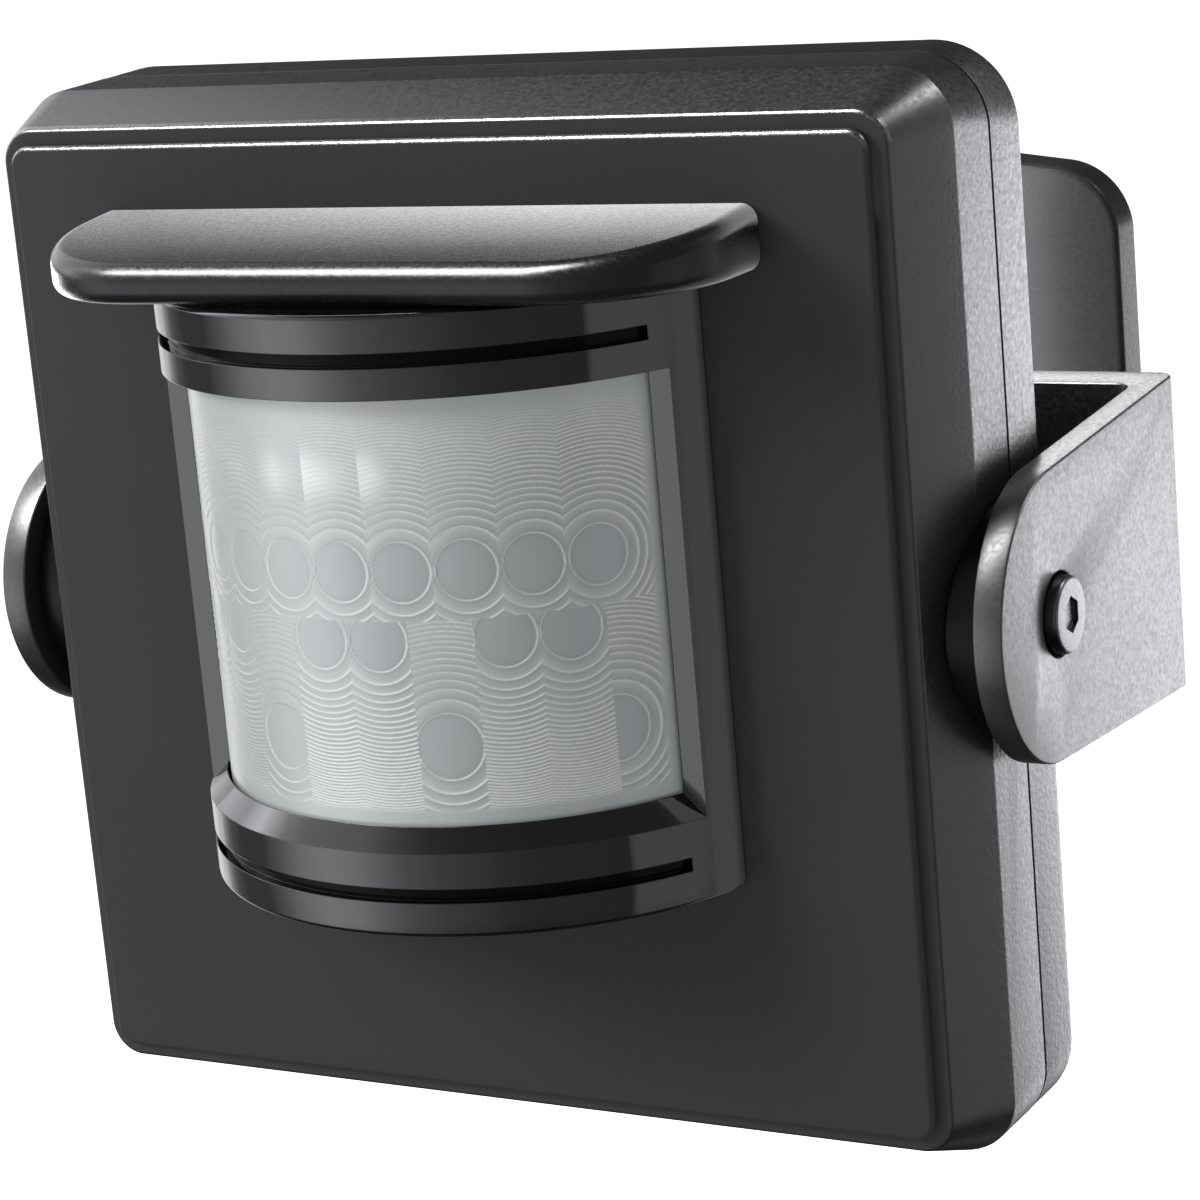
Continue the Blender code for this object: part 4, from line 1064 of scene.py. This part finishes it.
def sleeve_material():
    """Dark shrink sleeve with a lighter stripe."""
    mat = Material("elcap_sleeve")
    _, _, z = mat.separate(mat.mm)
    band = mat.remap(mat.calc("ABSOLUTE", z), (7.2, 8.8), to=(1.0, 0.0))
    mat.set("Base Color", mat.mix(band, lin((0.08, 0.08, 0.12)), lin((0.7, 0.7, 0.72))))
    mat.set("Roughness", mat.remap(mat.noise(scale=1.5, detail=3.0), NOISE_SPAN,
                                   to=(0.25, 0.4)))
    mat.set("Normal", mat.bump(mat.noise(scale=0.8), strength=0.2, distance=0.05,
                               normal=mat.bevel(0.2)))
    return mat


INSIDE = {
    "lens_retainer": INNER_BLACK,
    "case_gasket_upper": RUBBER,
    "case_gasket_lower": RUBBER,
    "circuit_board": board_material(),
    "pir_element": metal("pir_can", rgb=(0.78, 0.77, 0.74), rough=0.22),
    "relay": textured_plastic("relay_blue", rgb=(0.10, 0.22, 0.55), rough=0.4,
                              grain=0.3, depth=0.02, edge=0.2),
    "film_capacitor": textured_plastic("film_yellow", rgb=(0.80, 0.66, 0.18), rough=0.4,
                                       grain=0.4, depth=0.02, edge=0.3),
    "electrolytic_capacitor": sleeve_material(),
    "varistor": textured_plastic("varistor_epoxy", rgb=(0.12, 0.30, 0.62), rough=0.3,
                                 grain=0.6, depth=0.04, edge=0.3),
    "terminal_block": textured_plastic("terminal_green", rgb=(0.16, 0.45, 0.25), rough=0.45,
                                       grain=0.25, depth=0.02, edge=0.15),
    "trimmer_1": textured_plastic("trimmer_black", rgb=(0.12, 0.12, 0.12), rough=0.45,
                                  grain=0.25, depth=0.02, edge=0.15),
    "cable_clamp": textured_plastic("clamp_grey", rgb=(0.35, 0.35, 0.36), rough=0.5,
                                    grain=0.25, depth=0.02, edge=0.2),
    "pivot_nut_left": NUT_STEEL,
    "pivot_nut_right": NUT_STEEL}
INSIDE["trimmer_2"] = INSIDE["trimmer_3"] = INSIDE["trimmer_1"]

for name, ob in frame["nodes"].items():
    if ob.hide_render:
        continue
    mat = INSIDE.get(name) or (PLATED_STEEL if "screw" in name else INNER_BLACK)
    ob.data.materials.clear()
    ob.data.materials.append(mat.data)


# --------------------------------------------------------------- floor and world
def floor():
    """White floor that the camera sees brighter than the other rays do; in metres."""
    half, z = 30.0, -0.34
    bm = bmesh.new()
    corners = ((-half, -half, z), (half, -half, z), (half, half, z), (-half, half, z))
    bm.faces.new([bm.verts.new(p) for p in corners])
    ob = new_object("studio_floor", bm, recalc=False)
    mat = Material("studio_floor_white")
    mat.set("Base Color", (0.80, 0.80, 0.80))
    mat.set("Roughness", 0.9)
    mat.set("Specular IOR Level", 0.0)
    mat.set("Emission Color", (1.0, 1.0, 1.0))
    seen = mat.node("LightPath").outputs["Is Camera Ray"]
    mat.set("Emission Strength", mat.remap(seen, (0.0, 1.0), to=(0.22, 0.80)))
    use(ob, mat)
    ob.visible_glossy = False


floor()

# Brightness that reflections see, as (azimuth, brightness). The azimuth is in degrees from
# the front (-Y), positive toward +X.
PEAK = 8.0                                   # the colour ramps hold brightness / PEAK
LEVEL_PANELS = (
    (-180, 3.2), (-166, 0.3), (-145, 0.06), (-134, 0.7), (-128, 1.3), (-116, 0.9),
    (-108, 0.35), (-98, 0.20), (-82, 0.30), (-72, 1.0), (-60, 2.4), (-48, 3.4), (-36, 3.3),
    (-26, 2.4), (-16, 1.5), (-2, 1.0), (12, 0.72), (22, 0.48), (34, 0.38), (66.5, 0.34),
    (68.0, 1.2), (92, 1.2), (104, 0.85), (116, 0.85), (130, 3.4), (145, 6.8), (154, 6.5),
    (159, 4.8), (168, 3.6), (176, 3.2), (180, 3.2))
LOW_PANELS = (
    (-180, 3.2), (-166, 0.3), (-145, 0.06), (-134, 0.7), (-128, 1.3), (-116, 0.8),
    (-108, 0.30), (-98, 0.18), (-82, 0.28), (-72, 0.9), (-60, 2.2), (-48, 3.1), (-36, 3.0),
    (-26, 2.2), (-16, 1.4), (-2, 0.9), (12, 0.66), (22, 0.44), (34, 0.36), (66.5, 0.32),
    (68.0, 1.15), (92, 1.15), (104, 0.8), (116, 0.7), (130, 0.7), (145, 0.8), (156, 0.9),
    (158, 2.2), (162, 4.8), (169, 5.6), (176, 3.6), (180, 3.2))
HIGH_PANELS = (
    (-180, 0.05), (-142, 0.06), (-136, 0.3), (-129, 2.0), (-110, 2.4), (-98, 2.6),
    (-88, 6.0), (-76, 2.6), (-66, 2.0), (-40, 1.8), (-15, 0.7), (0, 0.5), (60, 0.4),
    (100, 0.4), (112, 1.0), (132, 1.6), (148, 0.3), (165, 0.1), (180, 0.05))
# where the high panels reach further down, as (azimuth, share)
LOWERED = ((-180, 0.0), (100, 0.0), (135, 1.0), (168, 1.0), (176, 0.0), (180, 0.0))
CEILING = 0.22
REFLECTION_TINT = (0.985, 0.993, 1.03)
DIFFUSE_LIGHT = (0.44, 0.44, 0.445)


def world():
    """White for the camera, plain grey for diffuse light, soft panels for reflections."""
    data = bpy.data.worlds.new("studio")
    bpy.context.scene.world = data
    data.use_nodes = True
    data.cycles.sampling_method = "NONE"
    tree = Tree(data.node_tree)
    calc = tree.calc
    x, y, z = tree.separate(tree.node("TexCoord").outputs["Generated"])
    angle = calc("ARCTAN2", x, calc("MULTIPLY", y, -1.0))
    azimuth = calc("MULTIPLY_ADD", angle, 1.0 / (2 * math.pi), 0.5)     # as 0..1

    def ramp(stops, peak=PEAK):
        node = tree.node("ValToRGB", {"Fac": azimuth})
        elements = node.color_ramp.elements
        while len(elements) > 1:
            elements.remove(elements[-1])
        for i, (degrees, value) in enumerate(stops):
            position = (degrees + 180.0) / 360.0
            element = elements[0] if i == 0 else elements.new(position)
            element.position = position
            element.color = (value / peak,) * 3 + (1.0,)
        return node.outputs["Color"]

    def by_height(gain, offset):
        return calc("MULTIPLY_ADD", z, gain, offset)

    def clamp(value, low=0.0):
        return calc("MINIMUM", calc("MAXIMUM", value, low), 1.0)

    def scale(vector, factor):
        return tree.node("VectorMath", {0: vector, "Scale": factor},
                         operation="SCALE").outputs[0]

    below = tree.mix(clamp(by_height(gain=-8.3, offset=-1.88)),
                     ramp(LEVEL_PANELS), ramp(LOW_PANELS))
    below = scale(below, clamp(by_height(gain=4.2, offset=2.65), low=0.04))
    raised = calc("ADD", by_height(gain=4.4, offset=0.28),
                  calc("MULTIPLY", ramp(LOWERED, peak=1.0), by_height(gain=5.6, offset=0.80)))
    panels = tree.mix(clamp(raised), below, ramp(HIGH_PANELS))
    panels = tree.mix(clamp(by_height(gain=5.0, offset=-3.2)), panels, (CEILING / PEAK,) * 3)
    tinted = tree.node("VectorMath", {0: scale(panels, PEAK), 1: REFLECTION_TINT},
                       operation="MULTIPLY").outputs[0]
    rays = tree.node("LightPath").outputs
    colour = tree.mix(rays["Is Glossy Ray"], DIFFUSE_LIGHT, tinted)
    colour = tree.mix(rays["Is Camera Ray"], colour, (1.0, 1.0, 1.0))
    background = tree.node("Background", {"Color": colour, "Strength": 1.0})
    tree.node("OutputWorld", {0: background.outputs[0]})


world()


# ------------------------------------------------------------------------ lights
def softbox(name, at, target, size, power, diffuse=True, glossy=True):
    """Rectangular softbox at a point, looking at a target; lengths in metres."""
    light = bpy.data.lights.new(name, "AREA")
    light.shape = "RECTANGLE"
    light.size, light.size_y = size
    light.energy = power
    light.spread = math.pi
    ob = bpy.data.objects.new(name, light)
    bpy.context.scene.collection.objects.link(ob)
    ob.location = at
    aim = Vector(target) - Vector(at)
    ob.rotation_euler = aim.to_track_quat("-Z", "Y").to_euler()
    ob.visible_camera = False
    ob.visible_diffuse = diffuse
    ob.visible_glossy = glossy
    return ob


def lit_only(light, *names, free=True):
    """Let a light reach only the named pieces; free means that the others don't block it."""
    pieces = bpy.data.collections.new(light.name + "_pieces")
    for name in names:
        pieces.objects.link(bpy.data.objects[name])
    light.light_linking.receiver_collection = pieces
    if free:
        light.light_linking.blocker_collection = pieces


def not_on(light, name):
    """Keep a light off the named piece."""
    left_out = bpy.data.collections.new(light.name + "_left_out")
    left_out.objects.link(bpy.data.objects[name])
    left_out.collection_objects[0].light_linking.link_state = "EXCLUDE"
    light.light_linking.receiver_collection = left_out


def toward(azimuth, elevation, distance):
    """Place seen from the origin: degrees from the front (-Y) toward +X, degrees up, metres."""
    a, e = math.radians(azimuth), math.radians(elevation)
    return (distance * math.sin(a) * math.cos(e), -distance * math.cos(a) * math.cos(e),
            distance * math.sin(e))


HEAD = (0.0, -0.05, 0.0)
TOP_FRONT = dict(at=toward(-43, 56, 0.55), target=HEAD, size=(0.18, 0.36), diffuse=False)

# highlights on the edges that face up and forward
glint = softbox("top_front_softbox", power=12.0, **TOP_FRONT)
lit_only(glint, "front_plate_skin", "front_shell_skin", "rain_hood_skin", "yoke_skin",
         "fresnel_lens_relief", free=False)
softbox("left_key_softbox", at=toward(-48, 27, 1.20), target=HEAD, size=(0.42, 0.42),
        power=12.5, glossy=False)
corner = softbox("top_right_softbox", at=toward(120, 47, 0.5), target=(0.03, -0.045, 0.045),
                 size=(0.12, 0.12), power=0.95)
not_on(corner, "rain_hood_skin")
fill = softbox("lens_fill", at=toward(-8, 14, 0.60), target=HEAD, size=(0.30, 0.30),
               power=1.7, glossy=False)
lit_only(fill, "fresnel_lens_relief")
kicker = softbox("yoke_kicker", at=toward(-160, 29, 0.6), target=(0.01, -0.055, 0.038),
                 size=(0.22, 0.20), power=1.0)
lit_only(kicker, "yoke_skin")
# a second highlight from the same place, for the hood alone
line = softbox("hood_line", power=7.0, **TOP_FRONT)
lit_only(line, "rain_hood_skin")
end = softbox("hood_end", at=toward(-112, -12, 0.5), target=(-0.036, -0.062, 0.035),
              size=(0.26, 0.20), power=1.3)
lit_only(end, "rain_hood_skin")
softbox("rear_fill", at=toward(180, 2, 1.0), target=(0.0, 0.0, 0.0), size=(0.5, 0.5),
        power=9.0, glossy=False)
# a narrow strip between head and wall plate
bounce = softbox("wall_bounce", at=(0.030, -0.022, 0.024), target=(0.0375, -0.0047, 0.024),
                 size=(0.010, 0.075), power=0.062)
lit_only(bounce, "wall_plate_skin")


# ------------------------------------------------------------------------ camera
def camera():
    """Looks from the front right and slightly above; the pose is in metres."""
    data = bpy.data.cameras.new("view")
    data.lens = 109.767
    data.sensor_width = 36.0
    data.clip_start = 0.01
    data.clip_end = 100.0
    ob = bpy.data.objects.new("view", data)
    bpy.context.scene.collection.objects.link(ob)
    ob.matrix_world = Matrix(((0.875184, -0.042177, 0.481948, 0.174705),
                              (0.476069, 0.252341, -0.842426, -0.330188),
                              (-0.086084, 0.966719, 0.240924, 0.083102),
                              (0.0, 0.0, 0.0, 1.0)))
    bpy.context.scene.camera = ob


camera()
bpy.context.scene.view_settings.view_transform = "Standard"
bpy.context.scene.view_settings.look = "None"
